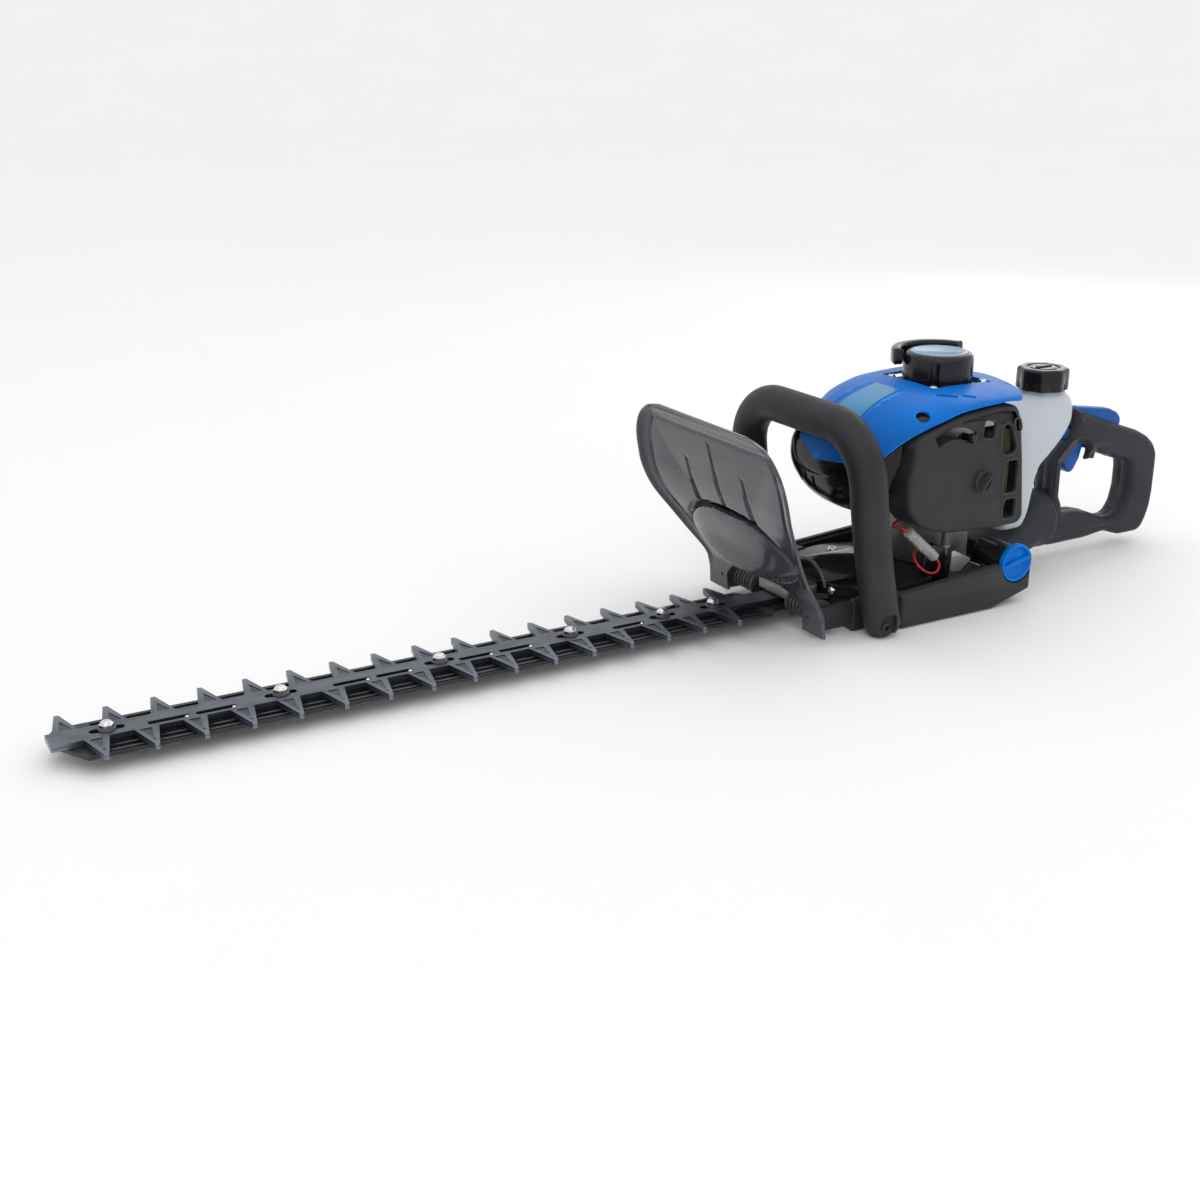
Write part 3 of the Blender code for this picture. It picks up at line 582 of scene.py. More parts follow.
GUARD_ROWS = (
    (-13, 596, 86), (8, 594, 85), (20, 590, 84), (40, 575, 90), (60, 561, 99), (80, 548, 109),
    (100, 539, 112.5), (118, 534.6, 112.5), (132, 531.6, 110.5), (143, 529.6, 106), (152, 528, 99),
    (159, 526.6, 89.5), (163.5, 525.6, 79), (166, 525, 66),
)
GUARD_BAND = 13.0
GUARD_WALL = 2.8
SCOOP_HALF = 80.0
GUARD_FLUTES = ((0, 80, 143), (-42, 80, 122), (42, 80, 122))


def guard_edge_distance(y, z, half):
    return min(half - abs(y), GUARD_ROWS[-1][0] - z)


def guard_leaf_edges(y):
    """Heights of the scoop's upper and lower outline at a distance y from the middle."""
    across = min(abs(y) / SCOOP_HALF, 1.0)
    return 52 + 30 * (1 - across ** 3.0), 27 + 26 * across ** 2.2


def guard_leaf(y, z):
    """Forward swelling of the leaf-shaped scoop over the gear case, in millimetres."""
    across = abs(y) / SCOOP_HALF
    if across >= 1:
        return 0.0
    top, low = guard_leaf_edges(y)
    if z > top or z < low - 4:
        return 0.0
    rise = (top - z) / (top - low)
    swell = 15.0 * (1 - across ** 2.5)
    if z < low:
        return swell * step(low - 4, low, z)
    return swell * rise ** 0.75


def guard_point(y, z, x, half):
    edge = guard_edge_distance(y, z, half)
    upper = step(18, 55, z)
    dish = 3.2 * step(0, GUARD_BAND, edge) + 4.0 * step(GUARD_BAND, 80, edge)
    dish += 1.4 * step(GUARD_BAND - 0.8, GUARD_BAND + 0.8, edge)
    dish -= 1.0 * step(GUARD_BAND + 0.8, GUARD_BAND + 4, edge)
    x += upper * dish
    x -= 2.4 * bell(edge - 1.0, 5.0) * step(0, 20, z)
    for middle, low, high in GUARD_FLUTES:
        along = (z - low) / (high - low)
        if 0 < along < 1.08:
            width = 4.4 * (1 - along) ** 0.5 if along < 1 else 0.01
            deep = bell(y - middle - 0.8, max(width, 1.5))
            x += 5.0 * deep * step(0, 0.05, along) * step(1.08, 0.9, along)
    if abs(y) < SCOOP_HALF:
        across = abs(y) / SCOOP_HALF
        top, low = guard_leaf_edges(y)
        x += 8.0 * bell(z - top - 1.8, 3.8) * (1 - across ** 5)
        x += 3.4 * bell(z - low + 5.2, 2.8) * (1 - across ** 5) * step(10, 30, abs(y))
    return x - guard_leaf(y, z)


def guard_row_at(z):
    """Place along the machine and half width of the guard at a height."""
    rows = spline(GUARD_ROWS, 12)
    for low, high in zip(rows, rows[1:]):
        if low[0] <= z <= high[0]:
            t = (z - low[0]) / (high[0] - low[0])
            return low[1] + (high[1] - low[1]) * t, low[2] + (high[2] - low[2]) * t
    return rows[-1][1:]


def spaced_rows(stations, gap):
    """Drops stations that lie closer than the gap, and keeps the last."""
    kept = [stations[0]]
    for station in stations[1:-1]:
        if math.dist(station[:1] + station[2:], kept[-1][:1] + kept[-1][2:]) >= gap:
            kept.append(station)
    return kept + [stations[-1]]


def make_guard():
    rings = []
    columns = 150
    for z, x, half in spaced_rows(spline(GUARD_ROWS, 12), 1.3):
        front = []
        for i in range(columns + 1):
            y = half * (2 * i / columns - 1)
            front.append((guard_point(y, z, x, half), y, z))
        back = [(px + GUARD_WALL, y, z) for px, y, z in reversed(front[::3])]
        rings.append(front + back)
    guard = mesh_object("front_guard_shell", loft(rings))
    gap = fillet([(-57, -30), (57, -30), (57, 4), (46, 14), (30, 19), (-30, 19), (-46, 14), (-57, 4)], 7)
    holes = [prism("X", circle(side * 65, 0.5, 1.7, 16), 560, 640) for side in (-1, 1)]
    carve(guard, prism("X", gap, 540, 640), *holes)
    soften(guard, 0.7, 40, 3)
    dress(guard, "smoke_plastic", nodes=("front_guard",))
    # A thin gloss-black strip at the bottom of the groove above the scoop is painted shade, standing for the
    # shaded opening under the panel.
    strip = []
    for offset in (-2.0, -0.7, 0.7, 2.0):
        row = []
        for i in range(81):
            y = -66 + 132 * i / 80
            z = guard_leaf_edges(y)[0] + 1.6 + offset * (1 - abs(y / 67) ** 3)
            row.append((guard_point(y, z, *guard_row_at(z)) - 0.35, y, z))
        strip.append(row)
    dress(shell("guard_scoop_painted_shade", strip, 0.5), "gloss_black")


# ---------------------------------------------------------------- front handle

HANDLE_SIDE = 86.0
HANDLE_TOP = 159.0
HANDLE_TUBE = 15.8
HANDLE_CORNER = 46.0
HANDLE_X = 632.0
HANDLE_LEAN = 28.0
HANDLE_DROP = 175.0
FOOT_Z = -9


def handle_x(z):
    lean = max(HANDLE_TOP - z, 0) / HANDLE_DROP
    return HANDLE_X + HANDLE_LEAN * lean ** 1.6


def make_front_handle():
    """A soft-touch loop whose feet are flattened and pocketed where they bolt to the base."""
    bend_y = HANDLE_SIDE - HANDLE_CORNER
    bend_z = HANDLE_TOP - HANDLE_CORNER
    half = [(-HANDLE_SIDE, z) for z in range(-16, int(bend_z), 6)]
    half += arc(-bend_y, bend_z, HANDLE_CORNER, 180, 90, 16)
    half += [(-30, HANDLE_TOP), (-20, HANDLE_TOP), (-10, HANDLE_TOP)]
    route = half + [(0, HANDLE_TOP)] + [(-y, z) for y, z in reversed(half)]
    path = [(handle_x(z), y, z) for y, z in route]

    def radius(share):
        end = min(share, 1 - share)
        return HANDLE_TUBE * (0.80 + 0.20 * step(0, 0.012, end))

    handle = mesh_object("front_handle_loop", tube(path, radius, 40))
    foot_x = handle_x(-6) - 4
    pocket = fillet(rectangle(foot_x - 9, foot_x + 9, -22, 3), 5)
    carve(handle, *(prism("Y", pocket, *sorted((side * (HANDLE_SIDE + 10.5), side * (HANDLE_SIDE + 20))))
                    for _, side in SIDES))
    soften(handle, 0.9, 50)
    dress(handle, "dark_plastic", nodes=("front_handle",))
    for name, side in SIDES:
        y = side * (HANDLE_SIDE + 9.8)
        profile = [(r, y + side * h) for r, h in ((0, 0), (4.4, 0), (4.4, 2.2), (3.6, 3.0), (2.3, 3.0),
                                                  (2.3, 1.0), (0, 1.0))]
        screw = mesh_object(f"handle_foot_screw_{name}", turned("Y", (foot_x, FOOT_Z), profile, 24))
        dress(soften(screw, 0.15), "spring_steel")


# ---------------------------------------------------------------- cutter

PITCH = 35.0
RIGHT_TEETH = 17
LEFT_TEETH = 16
REACH = 41.0
SPINE = 11.0
TOOTH_ROOT = 9.0
TOOTH_TIP = 1.7
BLADE_LEVELS = {"upper_blade": (-2.4, 0.0), "lower_blade": (-5.0, -2.7)}
BAR_TOP = -5.3
BAR_LOW = -8.4
BOLTS_X = (27.0, 155.5, 285.0, 402.0, 491.0, 542.0)
BOLT_TRAVEL = 9.0
BOLT_ROOM = 24.0
SLOT_Y = -4.6
SLOT_HALF = 12.5
GEAR_X = 704.0


def blade_outline():
    outline = [(BLADE_END, -SPINE), (BLADE_END, SPINE)]
    for i in range(RIGHT_TEETH):
        x = i * PITCH
        outline += [(x - TOOTH_ROOT, SPINE), (x - TOOTH_TIP, REACH)]
        outline += [(x + TOOTH_TIP, REACH), (x + TOOTH_ROOT, SPINE)]
    outline += [(626, SPINE), (650, 26), (740, 26), (740, -26), (650, -26), (626, -SPINE)]
    for i in reversed(range(LEFT_TEETH)):
        x = (i + 0.5) * PITCH
        outline += [(x + TOOTH_ROOT, -SPINE), (x + TOOTH_TIP, -REACH)]
        outline += [(x - TOOTH_TIP, -REACH), (x - TOOTH_ROOT, -SPINE)]
    return outline


def spine_slots():
    """Middles of the long openings between the left teeth, away from the bolts."""
    middles = [(i + 1) * PITCH for i in range(LEFT_TEETH - 1)]
    return [x for x in middles if all(abs(x - bolt) >= BOLT_ROOM for bolt in BOLTS_X)]


def tooth_facets(top):
    """Sunk triangles and dimples that lighten the teeth."""
    cuts = Solid()
    for i in range(LEFT_TEETH):
        x = (i + 0.5) * PITCH
        facet = fillet([(x - 5.4, -12.4), (x + 3.6, -12.4), (x + 0.4, -30)], 1.0, 3)
        cuts.add(prism("Z", facet, top - 0.6, top + 2))
        cuts.add(prism("Z", circle(x + 0.2, -33.2, 0.9, 12), top - 1.4, top + 2))
    for i in range(RIGHT_TEETH):
        x = i * PITCH
        facet = fillet([(x - 3.8, 12.4), (x + 5.6, 12.4), (x, 29)], 1.0, 3)
        cuts.add(prism("Z", facet, top - 0.6, top + 2))
    return cuts


def make_blades():
    outlines = [slot_outline(x, 0, BOLT_TRAVEL, 3.6) for x in BOLTS_X]
    outlines += [slot_outline(x, SLOT_Y, SLOT_HALF, 2.7) for x in spine_slots()]
    outlines.append(fillet(rectangle(GEAR_X - 28, GEAR_X + 28, -19.4, 19.4), 8))
    for node, (low, high) in BLADE_LEVELS.items():
        blade = mesh_object(node + "_plate", prism("Z", blade_outline(), low, high))
        openings = Solid()
        for outline in outlines:
            openings.add(prism("Z", outline, low - 1, high + 1))
        carve(blade, openings, tooth_facets(high))
        dress(soften(blade, 0.45, 30), "blade_steel", node, nodes=(node,))
    studs = Solid()
    dome = [(0, -2.0), (1.7, -2.0), (1.7, -0.9), (1.3, -0.4), (0.7, -0.1), (0, -0.05)]
    for x in spine_slots():
        studs.add(turned("Z", (x + SLOT_HALF + 0.9, SLOT_Y), dome, 16))
    place("upper_blade_studs", studs, "zinc", "upper_blade")


def make_guide_bar():
    """A black rail with two raised ribs along its left side."""
    outline = [(7, -29), (585, -29), (592, -20), (668, -20), (668, 20), (592, 20), (585, 31), (-4, 31),
               (-12, 18), (-12, 5)]
    bar = mesh_object("guide_bar_rail", prism("Z", outline, BAR_LOW, BAR_TOP))
    grooves = Solid()
    for low, high in ((-15.6, -12.4), (-23.6, -18.2), (-28.0, -26.0), (22.0, 27.0)):
        grooves.add(prism("Z", fillet(rectangle(20, 580, low, high), 0.9, 3), BAR_TOP - 1.4, BAR_TOP + 1))
    holes = Solid()
    for x in BOLTS_X:
        holes.add(prism("Z", circle(x, 0, 3.5, 16), BAR_LOW - 1, BAR_TOP + 1))
    carve(bar, grooves, holes)
    dress(soften(bar, 0.35, 30), "bar_steel", nodes=("blade_guide_bar",))
    # The ribs get the paler rib look, a painted highlight where light catches them.
    ribs = Solid()
    for i in range(LEFT_TEETH - 1):
        x = (i + 0.5) * PITCH
        for y, start, end in ((-16.9, 12, 27), (-24.8, 7, 30)):
            strip = fillet(rectangle(x + start, x + end, y - 0.9, y + 0.9), 0.8, 3)
            ribs.add(plate("Z", (strip, edge_profile(BAR_TOP - 0.4, BAR_TOP + 0.24, 0.2, 2))))
    place("guide_bar_ribs", ribs, "bar_ribs_painted_highlight", slot="bar_steel")


def hex_share(i):
    """Share of the radius at which point i of 24 meets a hexagon's side."""
    angle = (i * 15) % 60 - 30
    return math.cos(math.radians(30)) / math.cos(math.radians(angle)) * 1.08


def section(centre, radius, six):
    """24 points about a centre, on a circle or on a hexagon."""
    shares = [hex_share(i) if six else 1.0 for i in range(24)]
    return [(centre[0] + a * radius * share, centre[1] + b * radius * share)
            for (a, b), share in zip(circle(0, 0, 1, 24), shares)]


def make_bar_bolts():
    """Domed nuts on dark washers, with the bolt heads below."""
    stations = [(4.4, -11.6, 1), (4.7, -11.2, 1), (4.7, -8.9, 1), (4.5, -8.7, 1),
                (3.0, -8.7, 0), (3.0, 0.3, 0), (3.0, 1.5, 0), (5.0, 1.5, 1), (5.2, 2.0, 1), (5.2, 4.1, 1),
                (4.6, 4.6, 1), (4.1, 5.4, 0), (3.2, 6.3, 0), (2.0, 6.8, 0), (0.01, 7.0, 0)]
    flat = [(2.8, 0.3), (6.6, 0.3), (6.4, 1.1), (5.6, 1.6), (2.8, 1.6)]
    for number, x in enumerate(BOLTS_X, 1):
        place(f"bar_washer_{number}", turned_ring("Z", (x, 0), flat, 32), "spring_steel", slot="zinc")
        rings = [[(a, b, z) for a, b in section((x, 0), radius, six)] for radius, z, six in stations]
        nut = soften(mesh_object(f"bar_nut_{number}", loft(rings)), 0.15, 30)
        dress(nut, "zinc", nodes=(f"bar_bolt_{number}",))


def screw_head(name, axis, centre, seat, radius, height):
    """A domed socket-head screw; a negative height points the other way along the axis."""
    profile = [(0, 0, 0), (1, 0, 0), (1, 0.55, 0), (0.78, 1, 0), (0.48, 1, 1), (0.42, 0.45, 1), (0, 0.45, 0)]
    rings = [[lay(axis, a, b, seat + height * up) for a, b in section(centre, max(radius * out, 0.01), six)]
             for out, up, six in profile]
    dress(soften(mesh_object(name, loft(rings)), 0.12, 30), "zinc")


# ---------------------------------------------------------------- base

BASE_SIDE = 86.0
BASE_LOW = -20.0
PLUG = (810.0, 19.0)


def make_base():
    """A tray with thick rounded side walls, a ledge inside them and arms that reach to the guard."""
    profile = [(679, BASE_LOW), (785, BASE_LOW), (828, -8), (828, 15), (790, 20), (690, 13), (679, 12.5)]
    ledge = [(681, -18), (785, -18), (792, -14), (792, 17.0), (690, 10.0), (681, 9.4)]
    narrow = [(640, BASE_LOW), (686, BASE_LOW), (686, 12.6), (640, 8)]
    arm = [(600, -14), (652, -14), (652, 7), (600, 7)]
    walls = ((profile, 4.5, 5, 78.5, BASE_SIDE, 4.2, 6), (ledge, 2, 3, 79.0, 75.6, 1.4, 4),
             (narrow, 2.5, 4, 62.5, 69.0, 2.2, 4), (arm, 2.5, 4, 63.4, 68.2, 1.6, 4))
    solid = Solid()
    for side in (-1, 1):
        for outline, radius, steps, start, end, edge, edge_steps in walls:
            face = edge_profile(side * start, side * end, edge, edge_steps)
            solid.add(slab("Y", outline, radius, 1.5, face, steps))
        corner = rectangle(*sorted((side * 64, side * 84.5)), BASE_LOW + 0.5, 11.5)
        solid.add(slab("X", corner, 2, 1.5, edge_profile(684.5, 679.4, 1.5, 4), 3))
        block = fillet(rectangle(794, 826, BASE_LOW + 2, 12), 2)
        solid.add(prism("Y", block, *sorted((side * 55, side * 65))))
    floor = [(642, -66), (681, -66), (681, -82), (786, -82), (786, 82), (681, 82), (681, 66), (642, 66)]
    solid.add(prism("Z", fillet(floor, 3), BASE_LOW, BASE_LOW + 4))
    rear = [(784, BASE_LOW), (825, -8.4), (825, -4.4), (784, -16)]
    solid.add(prism("Y", rear, -82, 82))
    base = mesh_object("base_tray", solid)
    seats = [prism("Y", circle(*PLUG, 18.5, 48), *sorted((side * 73, side * 95))) for side in (-1, 1)]
    dress(carve(base, *seats), "dark_plastic", nodes=("base_frame",))


def make_plugs():
    """Blue end plugs with a rounded rim, a dished face and a finger bar."""
    for name, side in SIDES:
        rim = [(0, 80.4), (17.2, 80.4), (17.4, 81.0), (17.4, 84.4), (16.8, 85.6), (15.8, 86.0), (14.9, 85.5),
               (14.3, 84.0), (13.2, 82.6), (10.0, 82.1), (0, 82.0)]
        disc = turned("Y", PLUG, [(r, side * y) for r, y in rim], 72)
        bar = fillet(rectangle(-15.2, 15.2, -2.3, 2.3), 1.6, 4)
        tilt = math.radians(14)
        turned_bar = [(PLUG[0] + a * math.cos(tilt) - b * math.sin(tilt),
                       PLUG[1] + a * math.sin(tilt) + b * math.cos(tilt)) for a, b in bar]
        disc.add(plate("Y", (even(turned_bar, 1.0), edge_profile(side * 81.6, side * 85.6, 0.9, 4))))
        place(f"rear_plug_{name}_disc", disc, "blue_plastic", nodes=(f"rear_plug_{name}",))


def make_small_hardware():
    """The block, foil shield, drain bolt and screws round the gear case."""
    post = [(722, -15), (758, -15), (752, 34), (738, 40), (729, 38)]
    place("switch_block", slab("Y", post, 3, 1.5, edge_profile(-50, -55.5, 1.5, 4)), "gloss_black")
    foil = [(757, 12), (757, 30.5), (760, 31), (778.5, 21.5), (779.5, 19.5), (768, 11)]
    shield = slab("Y", foil, 1.2, 1.0, [(0.0, -57.0), (0.0, -58.0)], 3)
    place("foil_shield", shield, "foil", slot="cast_metal")
    profile = [(0, 28), (2.9, 28), (3.1, 29), (3.1, 35), (4.6, 35.2), (4.6, 37), (4.1, 37.4), (4.1, 52),
               (4.8, 52.4), (4.8, 60), (0, 60)]
    place("drain_bolt", turned("Z", (753, -53), profile, 28), "cast_metal")
    screw_head("gear_case_screw_front", "X", (-33.0, 6.0), 645.0, 3.6, -3.0)
    screw_head("gear_case_screw_rear", "Z", (700, 40), 11.2, 5.0, 4.6)
    screw_head("gear_case_screw_left", "Z", (690, -44), 11.2, 4.2, 4.0)


def make_gear_hump():
    """The bright strip round the mouth of the half round housing over the blade ends."""
    mouth = arc(0, 0, 27.4, 14, 166, 40) + arc(0, 0, 24.8, 166, 14, 36)
    strip = prism("X", mouth, 641.6, 643.4)
    dress(soften(mesh_object("gear_hump_strip", strip), 0.3), "cast_metal")


# ---------------------------------------------------------------- engine cowl and nose shroud

COWL = (
    (646, 34, 137, 122, 104), (650, 44, 146, 117, 92), (658, 51, 154.5, 117, 80),
    (670, 58, 162.5, 126, 72), (685, 66, 168, 140, 66), (700, 73, 171.5, 150, 62),
    (720, 78, 174.5, 158, 60), (740, 80, 176, 164, 60), (780, 82, 176, 168, 60),
    (797, 81, 175, 167, 60), (808, 75, 174.2, 165.5, 60), (818, 63, 173.4, 164, 60),
    (826, 47, 172.6, 163, 60), (832, 26, 172, 162, 60), (835, 10, 171.5, 162, 60),
)
ARCH = 2.3
SIDE_HALF = 0.84
CRANK_X = 776.0
LABEL_X = (669.0, 716.0)
LABEL_Y = (-21.5, 12.5)
LABEL_SLANT = 0.19
RAIL_X = (660.0, 722.0)
NOSE_MIDDLE = 117.0
SHELL_WALL = 2.2


def arch_power(x):
    """How square the cowl's arch is at a place along it."""
    return ARCH + 2.2 * step(780, 820, x)


def cowl_section(station, angle):
    """A point of the cowl's outline; 0 is the right side, 90 the crown, 180 the left and 270 below."""
    x, half, crown, part, low = station
    c = math.cos(math.radians(angle))
    s = math.sin(math.radians(angle))
    power = 2 / arch_power(x)
    height = crown - part if s >= 0 else part - low
    return x, half * signed_power(c, power) * far_share(x, c), part + height * signed_power(s, power)


def far_share(x, y):
    """The cowl reaches less far on its right side."""
    return 1 - (1 - SIDE_HALF) * step(655, 690, x) if y > 0 else 1.0


def nose_cap(front):
    """Rows that close the rounded front of a shell, from near its middle out to its first row."""
    rows = []
    for share in (0.02, 0.25, 0.5, 0.7, 0.85, 0.95):
        bulge = math.sqrt(1 - share ** 2) * 2.6
        rows.append([(x - bulge, y * share, NOSE_MIDDLE + (z - NOSE_MIDDLE) * share) for x, y, z in front])
    return rows


def cowl_relief(x, y):
    """Height of the two rails and the sunk label field between them."""
    along = step(RAIL_X[0], RAIL_X[0] + 10, x) * (1 - step(RAIL_X[1] - 14, RAIL_X[1], x))
    y -= LABEL_SLANT * (x - LABEL_X[1])
    rails = max(bell(y - LABEL_Y[1] - 7, 3.4), bell(y - LABEL_Y[0] + 4, 3.4))
    field = bell((y - sum(LABEL_Y) / 2) / (LABEL_Y[1] - LABEL_Y[0]) * 2, 1.6)
    return along * (1.3 * rails - 0.5 * field)


def cowl_stations():
    return spline(COWL, 6)


def far_part_angle(station):
    """Where the black shroud ends on the right side: level near the nose, on the parting further back."""
    x, _, crown, part, _ = station
    edge = max(part, min(part + 26 * (1 - step(646, 700, x)), crown - 4))
    share = (edge - part) / (crown - part)
    return math.degrees(math.asin(share ** (ARCH / 2)))


def slanted_slot(start, end, radius):
    """A round-ended slot between two points."""
    turn = math.degrees(math.atan2(end[1] - start[1], end[0] - start[0]))
    return arc(*end, radius, turn - 90, turn + 90, 10) + arc(*start, radius, turn + 90, turn + 270, 10)


def make_cowl():
    rows = []
    for station in cowl_stations():
        start = far_part_angle(station)
        row = []
        for i in range(91):
            x, y, z = cowl_section(station, start + (180 - start) * i / 90)
            row.append((x, y, z + cowl_relief(x, y)))
        rows.append(row)
    tail = [[(x + 0.5, y * share, z - 0.5) for x, y, z in rows[-1]] for share in (0.8, 0.05)]
    cowl = shell("engine_cowl_shell", nose_cap(rows[0]) + rows + tail, SHELL_WALL)
    recess = fillet(rectangle(CRANK_X - 34.5, CRANK_X + 33, -36, 36), 5)
    holes = [tube([(704, -58.5, 153.0), (704, -68.0, 161.5), (704, -79.0, 171.5)], 5.8, 32),
             prism("Z", slanted_slot((733.5, -51.6), (743.5, -60.8), 2.8), 150, 200),
             prism("Z", slanted_slot((752.2, -62.6), (757.8, -67.8), 2.6), 150, 200),
             prism("Z", slanted_slot((819, -39.5), (820.5, -48.5), 1.5), 150, 200)]
    carve(cowl, prism("Z", recess, 150, 200), *holes)
    dress(soften(cowl, 0.6, 40), "blue_plastic", nodes=("engine_cowl",))


def cowl_top(station, y):
    x, half, crown, part, _ = station
    power = arch_power(x)
    half *= far_share(x, y)
    return part + (crown - part) * (1 - (abs(y) / half) ** power) ** (1 / power)


def make_cowl_pockets():
    """Floors under the cowl's small openings; the bore's gloss-black floor is painted shade inside the round
    hole.
    """
    for name, low_x, high_x, low_y, high_y, look in (
            # The bore's floor is gloss black: painted shade inside the round hole.
            ("ovals", 726, 765, -73, -46, "blue_plastic"), ("bore", 692, 716, -72, -54, "gloss_black"),
            ("rear_slot", 811, 829, -54, -32, "blue_plastic")):
        rows = []
        for station in cowl_stations():
            if low_x < station[0] < high_x:
                edge = min(station[1] - 1.0, -low_y)
                rows.append([(station[0], y, cowl_top(station, y) - 3.6)
                             for y in (-edge + (edge + high_y) * i / 12 for i in range(13))])
        dress(shell(f"cowl_pocket_{name}", rows, 0.8), look)
    outline = fillet(rectangle(CRANK_X - 40, CRANK_X + 38, -40, 40), 4)
    levels = [(0, 166.0), (0, 168.2)]
    gasket = plate("Z", (outline, levels), (circle(CRANK_X, 0, 28, 60), levels))
    place("starter_gasket", gasket, "gloss_black")


def make_label():
    """A plain teal field between the rails, with no lettering."""
    rows = []
    for station in cowl_stations():
        if not LABEL_X[0] - 3 < station[0] < LABEL_X[1] + 1:
            continue
        row = []
        for i in range(31):
            y = LABEL_Y[0] + 1 + (LABEL_Y[1] - LABEL_Y[0] - 2) * i / 30
            y += LABEL_SLANT * (station[0] - LABEL_X[1])
            row.append((station[0], y, cowl_top(station, y) + cowl_relief(station[0], y) + 0.5))
        rows.append(row)
    dress(shell("cowl_label_field", rows, 0.7), "label_teal")


def make_shroud():
    rows = []
    for station in cowl_stations():
        if station[0] > 686:
            break
        end = 360 + far_part_angle(station)
        row = []
        for i in range(81):
            x, y, z = cowl_section(station, 180.6 + (end - 180.6) * i / 80)
            row.append((x, y * 0.995, z - 0.4))
        rows.append(row)
    shroud = shell("front_shroud_shell", nose_cap(rows[0]) + rows, SHELL_WALL)
    slots = []
    for k in range(3):
        y = 4 + k * 11
        slots.append(prism("X", fillet(rectangle(y, y + 4, 84 + k * 3, 100 + k * 3), 1.8), 630, 664))
    carve(shroud, *slots)
    dress(soften(shroud, 0.5, 40), "gloss_black", nodes=("front_shroud",))


# ---------------------------------------------------------------- air filter cover

COVER_OUTLINE = (
    (690, 140), (700, 147), (720, 155), (740, 161), (776, 165), (800, 163), (806, 150),
    (812, 112), (818, 60), (812, 54), (781, 54), (729, 57), (700, 66), (684, 84), (683, 110),
)
COVER_FACE = -80.0
COVER_BACK = -46.0
COVER_EDGE = 4.5
CHOKE = (731.0, 110.0)
KNOB = (765.0, 100.0)


def cover_windows():
    band = arc(*CHOKE, 41, 56, 124, 20) + arc(*CHOKE, 31, 124, 56, 16)
    outlines = [
        fillet([(761, 139), (774, 136.5), (776, 150), (763, 154)], 3.5),
        fillet([(784, 140), (784, 124), (789, 120), (799, 121), (801.5, 126), (797, 137), (793, 146),
                (786, 148)], 3.5),
        fillet(rectangle(790, 805, 85, 114), 4.5),
        fillet(rectangle(792, 806, 62, 79), 4.0),
        fillet([(797, 150), (802, 151), (805, 141), (800, 139.5)], 2.6),
    ]
    return outlines, fillet(band, 3.5)


def make_cover(node, outline, face, back, holes):
    """A moulded shell, open at the back, with rounded edges and holes through its face."""
    side = math.copysign(1, face)
    walls = [(7.5, face - side * 2.8), (5.0, face - side * 4.5), (2.6, face - side * 8), (2.6, back),
             (0.0, back), (0.0, side * 60)]
    walls += edge_profile(side * 62, face, COVER_EDGE, 6)[1:] + [(COVER_EDGE + 0.5, face)]
    rim = [(0.0, face - side * 2.8)] + edge_profile(face - side * 2, face, 0.9, 4)[1:]
    solid = plate("Y", (outline, walls), *((even(hole, 1.3), rim) for hole in holes))
    place(node + "_shell", solid, "dark_plastic", nodes=(node,))


def make_filter_cover():
    windows, band = cover_windows()
    make_cover("filter_cover", smoothed(COVER_OUTLINE, 22, 1.6, 8), COVER_FACE, COVER_BACK, windows + [band])
    section_points = [(-0.2, COVER_FACE + 0.1), (-0.5, COVER_FACE - 0.7), (-1.3, COVER_FACE - 0.7),
                      (-1.8, COVER_FACE + 0.1)]
    rims = Solid()
    for window in windows:
        rims.add(rim_ring("Y", even(window, 1.3), section_points))
    place("filter_cover_window_rims", rims, "dark_plastic")


def make_muffler_cover():
    """The heat guard on the right side, with five louvres."""
    outline = [(700, 62), (795, 62), (800, 100), (794, 150), (745, 154), (704, 140), (697, 100)]
    louvres = [slot_outline(748, 78 + i * 11, 30, 2.6) for i in range(5)]
    make_cover("muffler_cover", smoothed(outline, 12, 1.8, 8), 80.0, 51.0, louvres)


def make_filter_knob():
    """A thin raised ring with a slanting finger bar."""
    profile = [(9.3, -80.4), (9.3, -82.6), (8.7, -83.2), (7.9, -82.6), (7.6, -81.4), (0.6, -81.4),
               (0.6, -80.4)]
    ring = turned_ring("Y", KNOB, profile, 40)
    bar = [(758.0, 92.2), (760.2, 90.6), (772.4, 107.4), (770.2, 109.0)]
    body = slab("Y", bar, 1.2, 0.8, edge_profile(-81.2, -87.4, 1.0, 3))
    stem = turned("Y", KNOB, [(0, -81), (4, -81), (4, -70), (0, -70)], 24)
    knob = ring.add(body).add(stem)
    place("filter_cover_knob", knob, "dark_plastic", "filter_knob", nodes=("filter_knob",))


def make_choke_lever():
    lever = [(727, 107), (735, 107), (750.8, 138.5), (744.8, 142.5)]
    arm = slab("Y", lever, 3, 1.0, edge_profile(-69, -72, 0.6, 3))
    profile = [(3.0, -71), (3.0, -79), (4.3, -80.6), (4.6, -84.5), (4.2, -87), (3.2, -88)]
    knob = turned("Y", (747.2, 140.6), profile, 10)
    choke = mesh_object("choke_lever_arm", arm.add(knob))
    dress(soften(choke, 0.3), "gloss_black", "choke_lever", nodes=("choke_lever",))


# ---------------------------------------------------------------- starter

STARTER = 31.0
DRUM_LOW = 171.6
DRUM_TOP = 198.5
SCREW_REACH = 28.2


